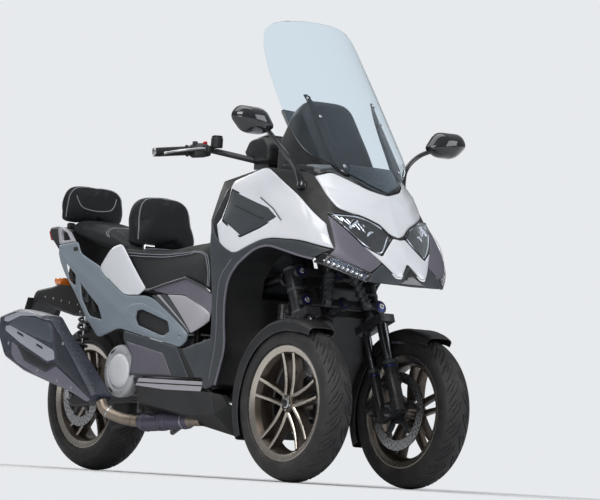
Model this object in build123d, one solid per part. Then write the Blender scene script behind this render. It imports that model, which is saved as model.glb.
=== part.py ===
from build123d import *
import os
from math import cos, hypot, radians, sin, tan

# Three-wheeled leaning scooter: two steered front wheels, one driven rear wheel.
# Millimetres. +X is the vehicle's left, +Y its rear, +Z up. While building, Y is counted from
# the front axle and Z from the floor. The finished pieces are moved so that Y = 0 is mid-length.

# Driving dimensions
WHEELBASE = 1600
TRACK = 530
RIM_SEAT_R = 190.5
FLANGE_R = 205
FLANGE_T = 7
BARREL_R = 167
FRONT_R = 274.5
FRONT_W = 120
REAR_R = 286
REAR_W = 160
FRONT_RIM_W = 100
REAR_RIM_W = 134
FRONT_DISC_X = 66
REAR_DISC_X = 84
RAKE = 22
KINGPIN_IN = 97          # from a front wheel's middle plane in to its steering axis
FRONT_END = -290
REAR_END = 2055
SKIN = 5
SEAM = 0.8
RUN = 0.3
HEAD_Y = 500
HEAD_Z = 1100
BAR_HALF = 400
ARM_LENGTH = 435         # swingarm, from its pivot to the rear axle
PIVOT_Y, PIVOT_Z, PIVOT_R = WHEELBASE - ARM_LENGTH, 300, 28
SHOCK_X, SHOCK_LOW, SHOCK_HIGH = 156, (WHEELBASE - 60, 312), (1480, 722)
SEAT_PIN_Y, SEAT_PIN_Z = 620, 728

MID_Y = (FRONT_END + REAR_END) / 2
WHEEL_X = TRACK / 2
KINGPIN_X = WHEEL_X - KINGPIN_IN
STAND_Y, STAND_Z = PIVOT_Y - 80, PIVOT_Z - 60
parts = {}


# Helpers

def side_face(outline, x=0.0):
    """Face in the plane at x, from (y, z) points."""
    return make_face(Polyline([(x, y, z) for y, z in outline], close=True))


def side_prism(outline, x0, x1, inset=0.0):
    """Prism of a side outline, from x0 to x1, shrunk all round by the inset."""
    face = side_face(outline, min(x0, x1))
    if inset:
        face = offset(face, amount=-inset, kind=Kind.INTERSECTION).face()
    return extrude(face, amount=abs(x1 - x0), dir=(1, 0, 0))


def shrunk(outline, amount):
    """Closed outline with every edge moved inwards by the amount."""
    turn = sum(a[0] * b[1] - b[0] * a[1] for a, b in zip(outline, outline[1:] + outline[:1]))
    sign = 1 if turn > 0 else -1
    out = []
    for i, (y, z) in enumerate(outline):
        normals = []
        for (ay, az), (by, bz) in ((outline[i - 1], (y, z)), ((y, z), outline[(i + 1) % len(outline)])):
            length = hypot(by - ay, bz - az)
            normals.append((sign * (az - bz) / length, sign * (by - ay) / length))
        (ny, nz), (my, mz) = normals
        scale = amount / (1 + ny * my + nz * mz)
        out.append((y + (ny + my) * scale, z + (nz + mz) * scale))
    return out


def bevelled_prism(outline, x0, x1, bevel, reach, both=True):
    """Prism of a side outline whose faces step in by the bevel over the last reach of its width."""
    way = reach if x1 > x0 else -reach
    rows = [(x0, bevel), (x0 + way, 0)] if both else [(x0, 0)]
    rows += [(x1 - way, 0), (x1, bevel)]
    return stations_loft([[(x, y, z) for y, z in (shrunk(outline, inset) if inset else outline)]
                          for x, inset in rows])


def front_prism(outline, y0, y1, inset=0.0):
    """Prism of a front outline of (x, z) points, from y0 back to y1."""
    face = make_face(Polyline([(x, y0, z) for x, z in outline], close=True))
    if inset:
        face = offset(face, amount=-inset, kind=Kind.INTERSECTION).face()
    return extrude(face, amount=y1 - y0, dir=(0, 1, 0))


def top_prism(outline, z0, z1):
    """Prism of a plan outline of (x, y) points, from z0 up to z1."""
    return extrude(make_face(Polyline([(x, y, z0) for x, y in outline], close=True)),
                   amount=z1 - z0, dir=(0, 0, 1))


def across(shape):
    """The same shape on the vehicle's other side."""
    return mirror(shape, about=Plane.YZ)


def pair(shape):
    """Left and right copies in one node."""
    return Compound([*shape.solids(), *across(shape).solids()])


def join(shapes):
    """Separate solids in one node."""
    return Compound([solid for shape in shapes for solid in shape.solids()])


def rod(start, end, radius, end_radius=None):
    """Round bar between two points."""
    line = Vector(*end) - Vector(*start)
    plane = Plane(origin=start, z_dir=line)
    if end_radius is None:
        return plane * Cylinder(radius, line.length, align=(Align.CENTER, Align.CENTER, Align.MIN))
    return plane * Cone(radius, end_radius, line.length,
                        align=(Align.CENTER, Align.CENTER, Align.MIN))


def disc_x(x0, x1, y, z, radius):
    """Round disc or boss whose axis lies across the vehicle."""
    return rod((min(x0, x1), y, z), (max(x0, x1), y, z), radius)


def tube(points, radii, radius, bore=0.0):
    """Bent round tube through the points, with a bend radius at each corner."""
    path = FilletPolyline(*points, radius=radii) if len(points) > 2 else Line(*points)
    start = Plane(origin=path @ 0, z_dir=path % 0)
    section = start * Circle(radius)
    if bore:
        section -= start * Circle(bore)
    return sweep(section, path=path)


def stations_loft(sections):
    """Ruled loft through closed polygons given as lists of points."""
    wires = [Wire.make_polygon(points, close=True) for points in sections]
    return Solid.make_loft(wires, ruled=True)


def inset_line(points, distance):
    """Open plan line moved sideways, towards its right-hand side, by the distance."""
    out = []
    for i, (x, y) in enumerate(points):
        ax, ay = points[max(i - 1, 0)]
        bx, by = points[min(i + 1, len(points) - 1)]
        length = hypot(bx - ax, by - ay)
        out.append((x + (by - ay) / length * distance, y - (bx - ax) / length * distance))
    return out


# Wheels: built about the X axis at the origin, outer side towards -X

def ring_x(profile):
    """Solid of revolution about X from (x, r) points."""
    return revolve(make_face(Polyline([(x, 0, r) for x, r in profile], close=True)), Axis.X)


def make_tyre(radius, width, rim_width):
    """Tyre of arcs: beads inside the rim's flanges, two sidewalls and a round crown."""
    half = width / 2
    bead_x = rim_width / 2 - FLANGE_T - RUN
    foot = (rim_width / 2 + 4, FLANGE_R + 1)
    shoulder = (half * 0.9, radius - width * 0.2)
    bulge = (half, (foot[1] + shoulder[1]) / 2)
    seat = (bead_x, RIM_SEAT_R + RUN)
    inner = (bead_x, foot[1])
    side = [seat, inner, foot, bulge, shoulder]
    right = [(x, 0, r) for x, r in side]
    left = [(-x, 0, r) for x, r in side]
    edges = []
    for at in (right, left):
        edges += [Line(at[0], at[1]), Line(at[1], at[2]), ThreePointArc(at[2], at[3], at[4])]
    edges += [ThreePointArc(left[4], (0, 0, radius), right[4]), Line(left[0], right[0])]
    return revolve(make_face(edges), Axis.X)


def make_rim(width, hub_r, hub_ends, face_x, spokes=5):
    """Cast rim: stepped barrel, hub and five pairs of straight spokes."""
    half = width / 2
    bed = half - FLANGE_T
    barrel = ring_x([(-half, FLANGE_R), (-bed, FLANGE_R), (-bed, RIM_SEAT_R), (bed, RIM_SEAT_R),
                     (bed, FLANGE_R), (half, FLANGE_R), (half, RIM_SEAT_R - 7),
                     (half - 24, BARREL_R), (24 - half, BARREL_R), (-half, RIM_SEAT_R - 7)])
    hub = disc_x(*hub_ends, 0, 0, hub_r)
    body = barrel + hub
    for k in range(spokes):
        for side in (-1, 1):
            root = [(face_x - 4, side * 8, hub_r - 6), (face_x - 4, side * 24, hub_r - 6),
                    (face_x + 26, side * 24, hub_r - 6), (face_x + 26, side * 8, hub_r - 6)]
            tip = [(face_x - 12, side * 20, RIM_SEAT_R - 18), (face_x - 12, side * 32, RIM_SEAT_R - 18),
                   (face_x + 8, side * 32, RIM_SEAT_R - 18), (face_x + 8, side * 20, RIM_SEAT_R - 18)]
            body += Rot(X=360 / spokes * k) * stations_loft([root, tip])
    return body


def make_brake_disc(radius, x):
    """Brake disc with a five-armed carrier."""
    ring = Rot(Y=90) * (Cylinder(radius, 5) - Cylinder(radius - 38, 6))
    body = Pos(x, 0, 0) * ring
    for k in range(5):
        body += Rot(X=72 * k) * Pos(x, 0, radius / 2) * Box(5, 20, radius - 50)
    return body + Pos(x, 0, 0) * Rot(Y=90) * Cylinder(42, 5)


AXLE_BORE = 12.5
axle_way, disc_way = (Rot(Y=90) * Cylinder(r, 400) for r in (AXLE_BORE, AXLE_BORE + 8))
front_rim = make_rim(FRONT_RIM_W, 34, (-30, FRONT_DISC_X - 2.5 - RUN), -34) - axle_way
front_disc = make_brake_disc(140, FRONT_DISC_X) - disc_way
front_tyre = make_tyre(FRONT_R, FRONT_W, FRONT_RIM_W)
for side, name in ((-1, "right"), (1, "left")):
    at = Pos(side * WHEEL_X, 0, FRONT_R)
    turned = [at * (s if side < 0 else across(s)) for s in (front_tyre, front_rim, front_disc)]
    parts["tyre_front_" + name], parts["rim_front_" + name], parts["disc_front_" + name] = turned

rear_at = Pos(0, WHEELBASE, REAR_R)
parts["tyre_rear"] = rear_at * make_tyre(REAR_R, REAR_W, REAR_RIM_W)
parts["rim_rear"] = rear_at * (make_rim(REAR_RIM_W, 40, (2.5 + RUN - REAR_DISC_X, 70), -46) - axle_way)
parts["disc_rear"] = rear_at * (make_brake_disc(120, -REAR_DISC_X) - disc_way)


# Front suspension in a raked frame: x across, t fore and aft, s along the steering axis,
# counted from the front axle

def raked(shape):
    return Pos(0, 0, FRONT_R) * Rot(X=-RAKE) * shape


TUBE_LOW, TUBE_TOP = 345, 520
LEG_T = 46
LEG_X = KINGPIN_X - 6
STEM_R = 15
ARM_S = (380, 492)
side_tubes = []

for side, name in ((-1, "right"), (1, "left")):
    x = side * KINGPIN_X
    leg_x = side * LEG_X
    fork = Pos(x, 0, 0) * rod((0, 0, TUBE_LOW - 30), (0, 0, TUBE_TOP + 14), STEM_R)
    fork += Pos(x, 0, TUBE_LOW - 15 - RUN) * Box(64, 2 * LEG_T + 60, 30)
    for t, slim, fat in ((-LEG_T, 19, 25), (LEG_T, 14, 19)):
        fork += rod((leg_x, t, 120), (leg_x, t, TUBE_LOW - 6), slim)
        fork += rod((leg_x, t, -20), (leg_x, t, 160), fat)
    fork += Pos(leg_x, 0, 0) * Box(30, 2 * LEG_T + 30, 56)
    caliper_in = WHEEL_X - 70 - 17
    fork += Pos(side * (caliper_in - RUN - 6), 86, 62) * Box(12, 80, 36)
    fork += Rot(Y=90) * Pos(0, 0, side * (LEG_X + 14)) * Cylinder(26, 28)
    axle = Rot(Y=90) * Pos(0, 0, side * (WHEEL_X - 40)) * Cylinder(AXLE_BORE - 0.05, 180)
    parts["fork_" + name] = raked(fork + axle)
    caliper = Pos(side * (WHEEL_X - 70), 0, 0) * Rot(X=-62) * Pos(0, 0, 132) * (
        Box(34, 76, 44) - Pos(side * 4, 0, -14) * Box(9, 90, 50))
    parts["caliper_front_" + name] = raked(Pos(0, 0, 0) * caliper)
    tube_body = Pos(x, 0, 0) * (rod((0, 0, TUBE_LOW), (0, 0, TUBE_TOP), 29)
                                - rod((0, 0, TUBE_LOW - 1), (0, 0, TUBE_TOP + 1), STEM_R + 0.05))
    for s in ARM_S:
        tube_body += Pos(x, 0, s) * (Rot(X=90) * Cylinder(13, 104) - rod((0, 0, -20), (0, 0, 20), 26))
    side_tubes.append(raked(tube_body))
parts["side_tubes"] = join(side_tubes)

arms = []
for s in ARM_S:
    for t in (-42, 42):
        bar = Pos(0, t, s) * Box(2 * KINGPIN_X, 15, 26)
        for x in (-KINGPIN_X, 0, KINGPIN_X):
            bar += Pos(x, t, s) * Rot(X=90) * Cylinder(25, 17)
            bar -= Pos(x, t, s) * Rot(X=90) * Cylinder(13 + RUN, 20)
        arms.append(raked(bar))
parts["tilt_arms"] = join(arms)

# Front fenders, carried by the forks: a curved band over the tyre with a mudflap at the rear
FENDER_R = FRONT_R + 16
FENDER_ARC = (130, 80, 30, -27)      # degrees round the axle, 0 straight back and 90 up
for side, name in ((-1, "right"), (1, "left")):
    half = FRONT_W / 2 + 5
    arch = ring_x([(-half, FENDER_R - 40), (-half + 5, FENDER_R - 10), (-half + 22, FENDER_R + 6),
                   (half - 22, FENDER_R + 6), (half - 5, FENDER_R - 10), (half, FENDER_R - 40),
                   (half - 4, FENDER_R - 40), (half - 9, FENDER_R - 12), (half - 24, FENDER_R + 2),
                   (-half + 24, FENDER_R + 2), (-half + 9, FENDER_R - 12), (-half + 4, FENDER_R - 40)])
    keep = side_prism([(0, 0)] + [(2 * FENDER_R * cos(radians(a)), 2 * FENDER_R * sin(radians(a)))
                                  for a in FENDER_ARC], -100, 100)
    band = Pos(side * WHEEL_X, 0, FRONT_R) * (arch & keep)
    stay_in, stay_out = LEG_X + 19 + RUN, WHEEL_X - half + 4
    stay = Box(stay_out - stay_in, 90, 8)
    stay = Pos(side * (stay_in + stay_out) / 2, 60, FRONT_R + FENDER_R - 40.5) * stay
    parts["fender_" + name] = band + stay

# Fairing skin: plan lines at each level, from the nose tip round to the leg shield,
# as (half width, y) points
FAIRING = [
    (300, [(0, -290), (60, -288), (150, -264), (280, -100), (322, 150), (331, 380), (332, 520)]),
    (690, [(0, -290), (60, -288), (150, -264), (280, -100), (322, 150), (337, 380), (338, 520)]),
    (760, [(0, -262), (80, -256), (190, -215), (290, -90), (324, 150), (337, 380), (338, 520)]),
    (820, [(0, -226), (110, -208), (235, -155), (293, -70), (322, 170), (334, 380), (334, 520)]),
    (940, [(0, -160), (110, -143), (215, -80), (262, 0), (292, 200), (303, 380), (304, 520)]),
    (1030, [(0, -110), (95, -95), (195, -25), (235, 60), (264, 250), (273, 380), (275, 520)]),
    (1130, [(0, -40), (90, -25), (180, 60), (205, 130), (228, 300), (233, 380), (235, 520)]),
]


def fairing_shell(depth, thickness):
    """Left half of the fairing's skin, from one depth under its face to the next."""
    sections = []
    for z, line in FAIRING:
        outer = inset_line(line, -depth) if depth else line
        inner = inset_line(line, -depth - thickness)
        inner = [(max(x, 0), y) for x, y in inner]
        outer = [(max(x, 0), y) for x, y in outer]
        sections.append([(x, y, z) for x, y in outer + inner[::-1]])
    return stations_loft(sections)


def fairing_core(depth):
    """Left half of the space inside the skin, closed at the rear."""
    sections = []
    for z, line in FAIRING:
        inner = [(max(x, 0), y) for x, y in inset_line(line, -depth)]
        sections.append([(x, y, z) for x, y in inner + [(0, inner[-1][1])]])
    return stations_loft(sections)


skin = fairing_shell(0, SKIN)

NOSE = [(0, 872), (25, 880), (65, 914), (135, 944), (190, 968), (206, 1010), (205, 1085),
        (160, 1100), (85, 1045), (0, 1022)]
LAMP = [(27, 872), (65, 912), (135, 942), (222, 944), (196, 900), (150, 838), (97, 802)]
LIP = [(0, 866), (26, 870), (95, 800), (150, 834), (102, 778), (66, 730), (42, 730), (0, 782)]
SIGNAL = [(285, 768), (270, 797), (160, 737), (176, 710)]
CHIN = [(0, 700), (176, 706), (158, 736), (104, 776), (66, 728), (42, 728), (0, 780)]
GREY_WEDGE = [(226, 942), (197, 898), (152, 836), (104, 778), (159, 739), (262, 794), (246, 816)]

CHEEK = [(470, 1072), (300, 1122), (70, 1005), (-80, 905), (-146, 818), (-10, 846), (180, 858),
         (335, 797), (450, 868), (498, 925), (490, 1000)]
INSERT = [(462, 1040), (240, 968), (165, 930), (255, 893), (365, 862), (492, 928)]
ARCH = [(-146, 816), (-85, 780), (-25, 792), (140, 832), (205, 822), (300, 765), (350, 710),
        (362, 640), (360, 555), (347, 465), (395, 330), (455, 313), (472, 330), (428, 480),
        (432, 640), (450, 760), (498, 923), (450, 866), (335, 795), (180, 856), (-10, 844)]


def cheek_panel(outline):
    return skin & side_prism(outline, 150, 360, SEAM / 2)


def whole(shape):
    """Both halves as one solid."""
    return shape + across(shape)


def middle_outline(outline):
    """Closed front outline over both sides, from the half that starts at x = 0."""
    return outline + [(-x, z) for x, z in outline[::-1] if x > 0]


full_skin = whole(skin)
parts["nose_cowl"] = full_skin & front_prism(middle_outline(NOSE), FRONT_END - 20, 160, SEAM / 2)
parts["nose_lip"] = full_skin & front_prism(middle_outline(LIP), FRONT_END - 20, 0, SEAM / 2)
parts["chin"] = full_skin & front_prism(middle_outline(CHIN), FRONT_END - 20, 0, SEAM / 2)
parts["headlamps"] = pair(skin & front_prism(LAMP, FRONT_END - 20, 60, SEAM / 2))
parts["front_signals"] = pair(skin & front_prism(SIGNAL, FRONT_END - 20, 60, SEAM / 2))
nose_wedges = pair(skin & front_prism(GREY_WEDGE, FRONT_END - 20, 60, SEAM / 2))
insert_cut = side_prism(INSERT, 150, 400)
wedge_cut = front_prism(GREY_WEDGE, FRONT_END - 20, -40)
parts["cheeks"] = pair(cheek_panel(CHEEK) - insert_cut - wedge_cut)
cheek_inserts = pair(skin & side_prism(INSERT, 150, 400, SEAM / 2))
parts["arch_bands"] = pair(cheek_panel(ARCH) - wedge_cut - front_prism(SIGNAL, FRONT_END - 20, -40))

# Inner fairing: wheel-arch roof and leg shield in one moulding, bored for the steering head
CORE = [(-250, 742), (-100, 800), (-25, 812), (140, 850), (212, 842), (322, 780), (374, 715),
        (385, 640), (382, 555), (368, 465), (414, 335), (450, 320), (466, 335), (420, 480),
        (424, 640), (444, 760), (512, 925), (512, 1070), (300, 1118), (80, 1095), (-100, 1018),
        (-190, 880)]


def head_point(z, back=0.0):
    """Point on the steering axis at a height, moved rearwards if asked."""
    return (0, HEAD_Y + (z - HEAD_Z) * tan(radians(RAKE)) + back, z)


core = whole(fairing_core(SKIN + RUN)) & side_prism(CORE, -400, 400)
frame_way = Pos(0, 400, 760) * Box(300, 260, 220)
parts["inner_fairing"] = core - rod(head_point(600), head_point(1300), 60) - frame_way

# Frame: steering head, front spine with the tilt pivots, side rails and tail rails
HEAD_LOW, HEAD_TOP = 830, 1030
RAIL_X, RAIL_Z, RAIL_R = 158, 300, 19
frame = rod(head_point(HEAD_LOW), head_point(HEAD_TOP), 30)
frame += raked(Pos(0, 78, 440) * Box(56, 40, 240))
for s in ARM_S:
    frame += raked(Pos(0, 30, s) * Rot(X=90) * Cylinder(13, 180))
frame += Pos(0, 315, 740) * Box(56, 130, 60)
frame += rod((0, 330, 745), head_point(HEAD_LOW + 20), 24)
rails = tube([(0, 350, 760), (104, 480, 700), (104, 600, RAIL_Z + 10), (RAIL_X, 720, RAIL_Z),
              (RAIL_X, PIVOT_Y + 20, RAIL_Z)], [60, 60, 60], RAIL_R)
seat_rail = tube([(RAIL_X, 740, RAIL_Z + 12), (185, 725, 650), (185, 1330, 720), (132, 1590, 805),
                  (112, 1688, 842)], [60, 60, 90], 13)
shock_stay = rod((142, 1530, 780), (SHOCK_X - 26, *SHOCK_HIGH), 9)
shock_stay += disc_x(SHOCK_X - 32, SHOCK_X + 14, *SHOCK_HIGH, 7)
frame += shock_stay + across(shock_stay)
PAD_LOW, PAD_TOP = RAIL_Z + 2, PIVOT_Z + PIVOT_R + 2 - RUN
for y in (820, 1050):
    pad = Pos(RAIL_X, y, (PAD_LOW + PAD_TOP) / 2) * Box(22, 50, PAD_TOP - PAD_LOW)
    frame += pad + across(pad)
frame += rails + across(rails) + seat_rail + across(seat_rail)
pin_stay = rod((184, 745, 634), (183, SEAT_PIN_Y, SEAT_PIN_Z), 9)
frame += disc_x(-185, 185, SEAT_PIN_Y, SEAT_PIN_Z, 8) + pin_stay + across(pin_stay)
frame += disc_x(-RAIL_X - 8, RAIL_X + 8, STAND_Y, STAND_Z, 8)
ear = Pos(RAIL_X, STAND_Y, (STAND_Z + RAIL_Z) / 2) * Box(14, 34, RAIL_Z - STAND_Z + 30)
frame += ear + across(ear)
parts["frame"] = frame - rod(head_point(HEAD_LOW - 30), head_point(HEAD_TOP + 5), 17 + 0.05)

# Body sides behind the leg shield: at each station the (half width, height) of the lower edge,
# of the belt and of the upper edge
BODY = [
    (380, (330, 300), (331, 560), (318, 900)),
    (560, (306, 320), (288, 520), (236, 720)),
    (700, (297, 330), (272, 500), (226, 710)),
    (900, (286, 240), (262, 510), (222, 710)),
    (1120, (274, 240), (246, 530), (210, 800)),
    (1300, (242, 400), (226, 560), (190, 860)),
    (1500, (205, 560), (192, 700), (170, 890)),
    (1760, (152, 740), (146, 850), (138, 950)),
]


def body_skin(depth, thickness):
    """Left side of the body as a folded sheet."""
    sections = []
    for y, *line in BODY:
        outer = [(w - depth, y, z) for w, z in line]
        inner = [(w - depth - thickness, y, z) for w, z in line]
        sections.append(outer + inner[::-1])
    return stations_loft(sections)


side = body_skin(0, SKIN)


def body_panel(outline, depth=0, thickness=SKIN):
    base = side if depth == 0 and thickness == SKIN else body_skin(depth, thickness)
    return base & side_prism(outline, 100, 400, SEAM / 2)


SIDE_PANEL = [(1725, 868), (1575, 878), (1535, 832), (1362, 775), (1350, 755), (1145, 662), (965, 662),
              (655, 518), (658, 490), (700, 465), (1130, 535), (1160, 535), (1295, 500), (1405, 570),
              (1540, 680), (1635, 745), (1695, 800)]
SLOTS = [[(1650, 800), (1545, 745), (1535, 702), (1595, 727)],
         [(1500, 715), (1335, 625), (1285, 570), (1390, 585), (1475, 655)]]
HEX = [(1035, 602), (1000, 607), (815, 562), (785, 526), (820, 507), (1010, 550), (1035, 575)]
UNDER_SEAT = [(1362, 776), (1300, 850), (1225, 862), (1005, 686), (1045, 662), (1145, 662), (1350, 755)]
PANEL_LOW = 351.8
LOWER_REAR = [(1105, 530), (710, 467), (575, 352), (1025, 360), (1020, 430), (1100, 495)]
LOWER_FRONT = [(658, 463), (595, 480), (432, 505), (428, 435), (470, 352), (565, 352), (690, 455)]

# Between the seat and the side panel: a pale wedge, and a skirt that turns in under the seat's edge
WEDGE = [(965, 662), (800, 655), (556, 580), (540, 566), (655, 518)]
SKIRT = [(560, 581.6, 714, 150), (640, 606.2, 716, 163), (720, 630.8, 712, 173), (800, 655.4, 706, 173),
         (900, 659.6, 706, 173), (985, 684, 722, 173)]      # y, lower z, upper z, inner half width


def body_x(y, z):
    """Half width of the body side at a height between its belt and its upper edge."""
    for (y0, _, belt0, top0), (y1, _, belt1, top1) in zip(BODY, BODY[1:]):
        if y0 <= y <= y1:
            t = (y - y0) / (y1 - y0)
            belt = [u + (v - u) * t for u, v in zip(belt0, belt1)]
            top = [u + (v - u) * t for u, v in zip(top0, top1)]
            return belt[0] + (top[0] - belt[0]) * (z - belt[1]) / (top[1] - belt[1])


rows = []
for y, low_z, top_z, inner in SKIRT:
    low_x, top_x = body_x(y, low_z), body_x(y, top_z)
    rows.append([(low_x, y, low_z), (top_x, y, top_z), (inner, y, top_z + 62), (inner, y, top_z + 57),
                 (top_x - SKIN, y, top_z - 3), (low_x - SKIN, y, low_z)])
parts["seat_skirts"] = pair(stations_loft(rows))
panel = body_panel(SIDE_PANEL)
for slot in SLOTS + [HEX]:
    panel -= side_prism(slot, 100, 400)
parts["side_panels"] = pair(panel)
parts["inlay_panels"] = join([nose_wedges, cheek_inserts, pair(body_panel(HEX)), pair(body_panel(WEDGE))])
parts["seat_sides"] = pair(body_panel(UNDER_SEAT))
parts["lower_panels"] = pair(body_panel(LOWER_REAR) + body_panel(LOWER_FRONT) - core)

# Tail
TAIL_X, HUGGER_X = 119, 60
TAIL = [(1700, 800), (1690, 870), (1690, 928), (1705, 934), (1800, 948), (1850, 944), (1836, 896),
        (1775, 845)]
tail_lamp = side_prism([(1850.5, 943.5), (1866, 924), (1848, 889), (1836.6, 896.2)], -110, 110)
RAIL = [(1735, 944), (1757, 932), (1727, 867.5), (1605, 875.6), (1665, 922)]
parts["grab_rails"] = pair(body_skin(2, 14) & side_prism(RAIL, 80, 220))
HUGGER = [(1702, 805), (1768, 842), (1796, 742), (1880, 716), (2010, 700), (2055, 625), (2040, 606),
          (1985, 650), (1850, 618), (1720, 592), (1650, 604), (1640, 690), (1700, 745)]
parts["tail_panel"] = side_prism(TAIL, -TAIL_X, TAIL_X) + side_prism(HUGGER, -HUGGER_X, HUGGER_X)
signal = Pos(HUGGER_X + RUN + 32, 1760, 728) * Box(64, 60, 30)
parts["rear_lamps"] = join([tail_lamp, pair(signal)])

# Storage bin under the seat
BIN_LOW, BIN_TOP = 530, 728
bin_block = Pos(0, 1022, (BIN_LOW + BIN_TOP) / 2) * Box(330, 536, BIN_TOP - BIN_LOW)
bin_space = Pos(0, 1022, (BIN_LOW + BIN_TOP) / 2 + 6) * Box(318, 524, BIN_TOP - BIN_LOW)
ledge = Pos(0, 1100, 693) * Box(343.4, 300, 8)
parts["storage_bin"] = bin_block + ledge - bin_space

# Seat: at each station (y, half width, underside, top); the top is crowned across
SEAT = [(552, 100, 765, 790), (640, 142, 745, 860), (720, 163, 745, 863), (804, 166, 745, 862),
        (1000, 166, 745, 832), (1180, 166, 781, 838), (1290, 162, 838, 872), (1410, 150, 856, 916),
        (1560, 134, 884, 944), (1690, 120, 910, 966)]
CROWN = [(1, 0), (1, 0.5), (0.85, 0.86), (0.5, 1)]      # shares of half width and of height
rows = []
for y, half, under, top in SEAT:
    edge = [(half * across_share, y, under + (top - under) * up_share) for across_share, up_share in CROWN]
    rows.append(edge + [(-x, y, z) for x, y, z in edge[::-1]])
lug = side_prism([(600, 765), (608, 716), (632, 716), (640, 765)], -60, 60)
pin_way = disc_x(-200, 200, SEAT_PIN_Y, SEAT_PIN_Z, 8.05)
parts["seat"] = stations_loft(rows) + lug - pin_way
BACK = [(1200, 835), (1190, 905), (1235, 1055), (1290, 1060), (1310, 1000), (1300, 865)]
BACK_HALF = 140
parts["rider_backrest"] = bevelled_prism(BACK, -BACK_HALF, BACK_HALF, 24, 30) - parts["seat"]
REAR_BACK = [(1715, 936), (1696, 1000), (1705, 1100), (1735, 1118), (1765, 1060), (1757, 941)]
rear_back = bevelled_prism(REAR_BACK, -BACK_HALF, BACK_HALF, 15, 26)
parts["passenger_backrest"] = rear_back - parts["tail_panel"] - parts["grab_rails"]

# Engine, covers and driveline
ENGINE_X, ENGINE_LOW, ENGINE_TOP = 170, PIVOT_Z + PIVOT_R + 2, BIN_LOW - 6
COVER_Y, COVER_Z, COVER_R = 1146, 377, 100
engine = Pos(0, 945, (ENGINE_LOW + ENGINE_TOP) / 2) * Box(2 * ENGINE_X, 360, ENGINE_TOP - ENGINE_LOW)
COVER_X = RAIL_X + RAIL_R + RUN
parts["engine"] = engine + disc_x(-100, -COVER_X, COVER_Y, COVER_Z, 40)
parts["crank_cover"] = disc_x(-COVER_X - RUN, -238, COVER_Y, COVER_Z, COVER_R)
ARM_IN, ARM_OUT = 96, RAIL_X - RAIL_R - RUN
arm = side_prism([(PIVOT_Y - 25, PIVOT_Z), (PIVOT_Y + 15, PIVOT_Z + PIVOT_R), (WHEELBASE, REAR_R + 44),
                  (WHEELBASE + 50, REAR_R), (WHEELBASE, REAR_R - 46), (PIVOT_Y + 15, PIVOT_Z - 38)],
                 ARM_IN, ARM_OUT)
swing = arm + across(arm) + disc_x(-ARM_OUT, ARM_OUT, PIVOT_Y, PIVOT_Z, PIVOT_R)
swing += disc_x(-ARM_OUT, ARM_OUT, WHEELBASE, REAR_R, AXLE_BORE - 0.05)
shock_pin = disc_x(ARM_OUT - 5, SHOCK_X + 16, *SHOCK_LOW, 7)
swing += shock_pin + across(shock_pin)
MOUNT_LOW, MOUNT_TOP = REAR_R + 24, REAR_R + 99
swing += side_prism([(WHEELBASE - 75, MOUNT_LOW), (WHEELBASE, MOUNT_LOW), (WHEELBASE - 10, MOUNT_TOP),
                     (WHEELBASE - 55, MOUNT_TOP)], -ARM_OUT, -REAR_DISC_X - 20 - RUN)
parts["swingarm"] = swing
caliper = Box(40, 70, 44) - Pos(0, 0, -14) * Box(9, 90, 50)
parts["rear_caliper"] = rear_at * (Rot(X=20) * Pos(-REAR_DISC_X, 0, 110) * caliper)

low, high = (SHOCK_X, *SHOCK_LOW), (SHOCK_X, *SHOCK_HIGH)
reach = Vector(*high) - Vector(*low)
shock = rod(low, high, 10) + rod(tuple(Vector(*low) + reach * 0.22), tuple(Vector(*low) + reach * 0.84), 28)
shock += disc_x(SHOCK_X - 13, SHOCK_X + 13, *SHOCK_LOW, 17)
shock -= disc_x(SHOCK_X - 20, SHOCK_X + 20, *SHOCK_LOW, 7 + RUN)
shock += disc_x(SHOCK_X - 13, SHOCK_X + 13, *SHOCK_HIGH, 17)
shock -= disc_x(SHOCK_X - 40, SHOCK_X + 20, *SHOCK_HIGH, 7 + RUN)
parts["rear_shocks"] = pair(shock)

# Exhaust on the vehicle's right
MUFFLER = [(1835, 575), (1705, 608), (1515, 580), (1450, 520), (1135, 278), (1180, 245), (1290, 280),
           (1635, 360), (1780, 415), (1835, 520)]
parts["muffler"] = bevelled_prism(MUFFLER, -242, -345, 20, 30, both=False)
PIPE = [(-292, 1156.6, 260.2), (-280, 1128, 221), (-215, 1020, 190), (-195, 640, 205)]
COLLECTOR = [(-213, 1002, 191), (-205, 830, 197.5)]
COLLECTOR_R = 32
parts["exhaust_pipe"] = tube(PIPE, [24, 60], 21) + rod(*COLLECTOR, COLLECTOR_R) - parts["muffler"]

# Belly and floor
BELLY = [
    (400, (290, 296), (262, 262), (150, 215)),
    (468, (296, 306), (268, 228), (170, 152)),
    (480, (301, PANEL_LOW), (268, 228), (170, 155)),
    (640, (294, PANEL_LOW), (258, 222), (175, 182)),
    (STAND_Y - 100, (272, PANEL_LOW), (245, 262), (180, 224)),
]


def tray_loft(shrink, lift):
    """Open-topped tray section lofted rearwards; the lift raises its floor."""
    sections = []
    for y, *line in BELLY:
        top = [(line[0][0] - shrink, y, line[0][1] + (40 if lift else 0))]
        low = [(w - shrink, y, z + lift) for w, z in line[1:]]
        half = [(x, py, z) for x, py, z in top + low]
        sections.append(half + [(-x, py, z) for x, py, z in half[::-1]])
    return stations_loft(sections)


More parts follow.
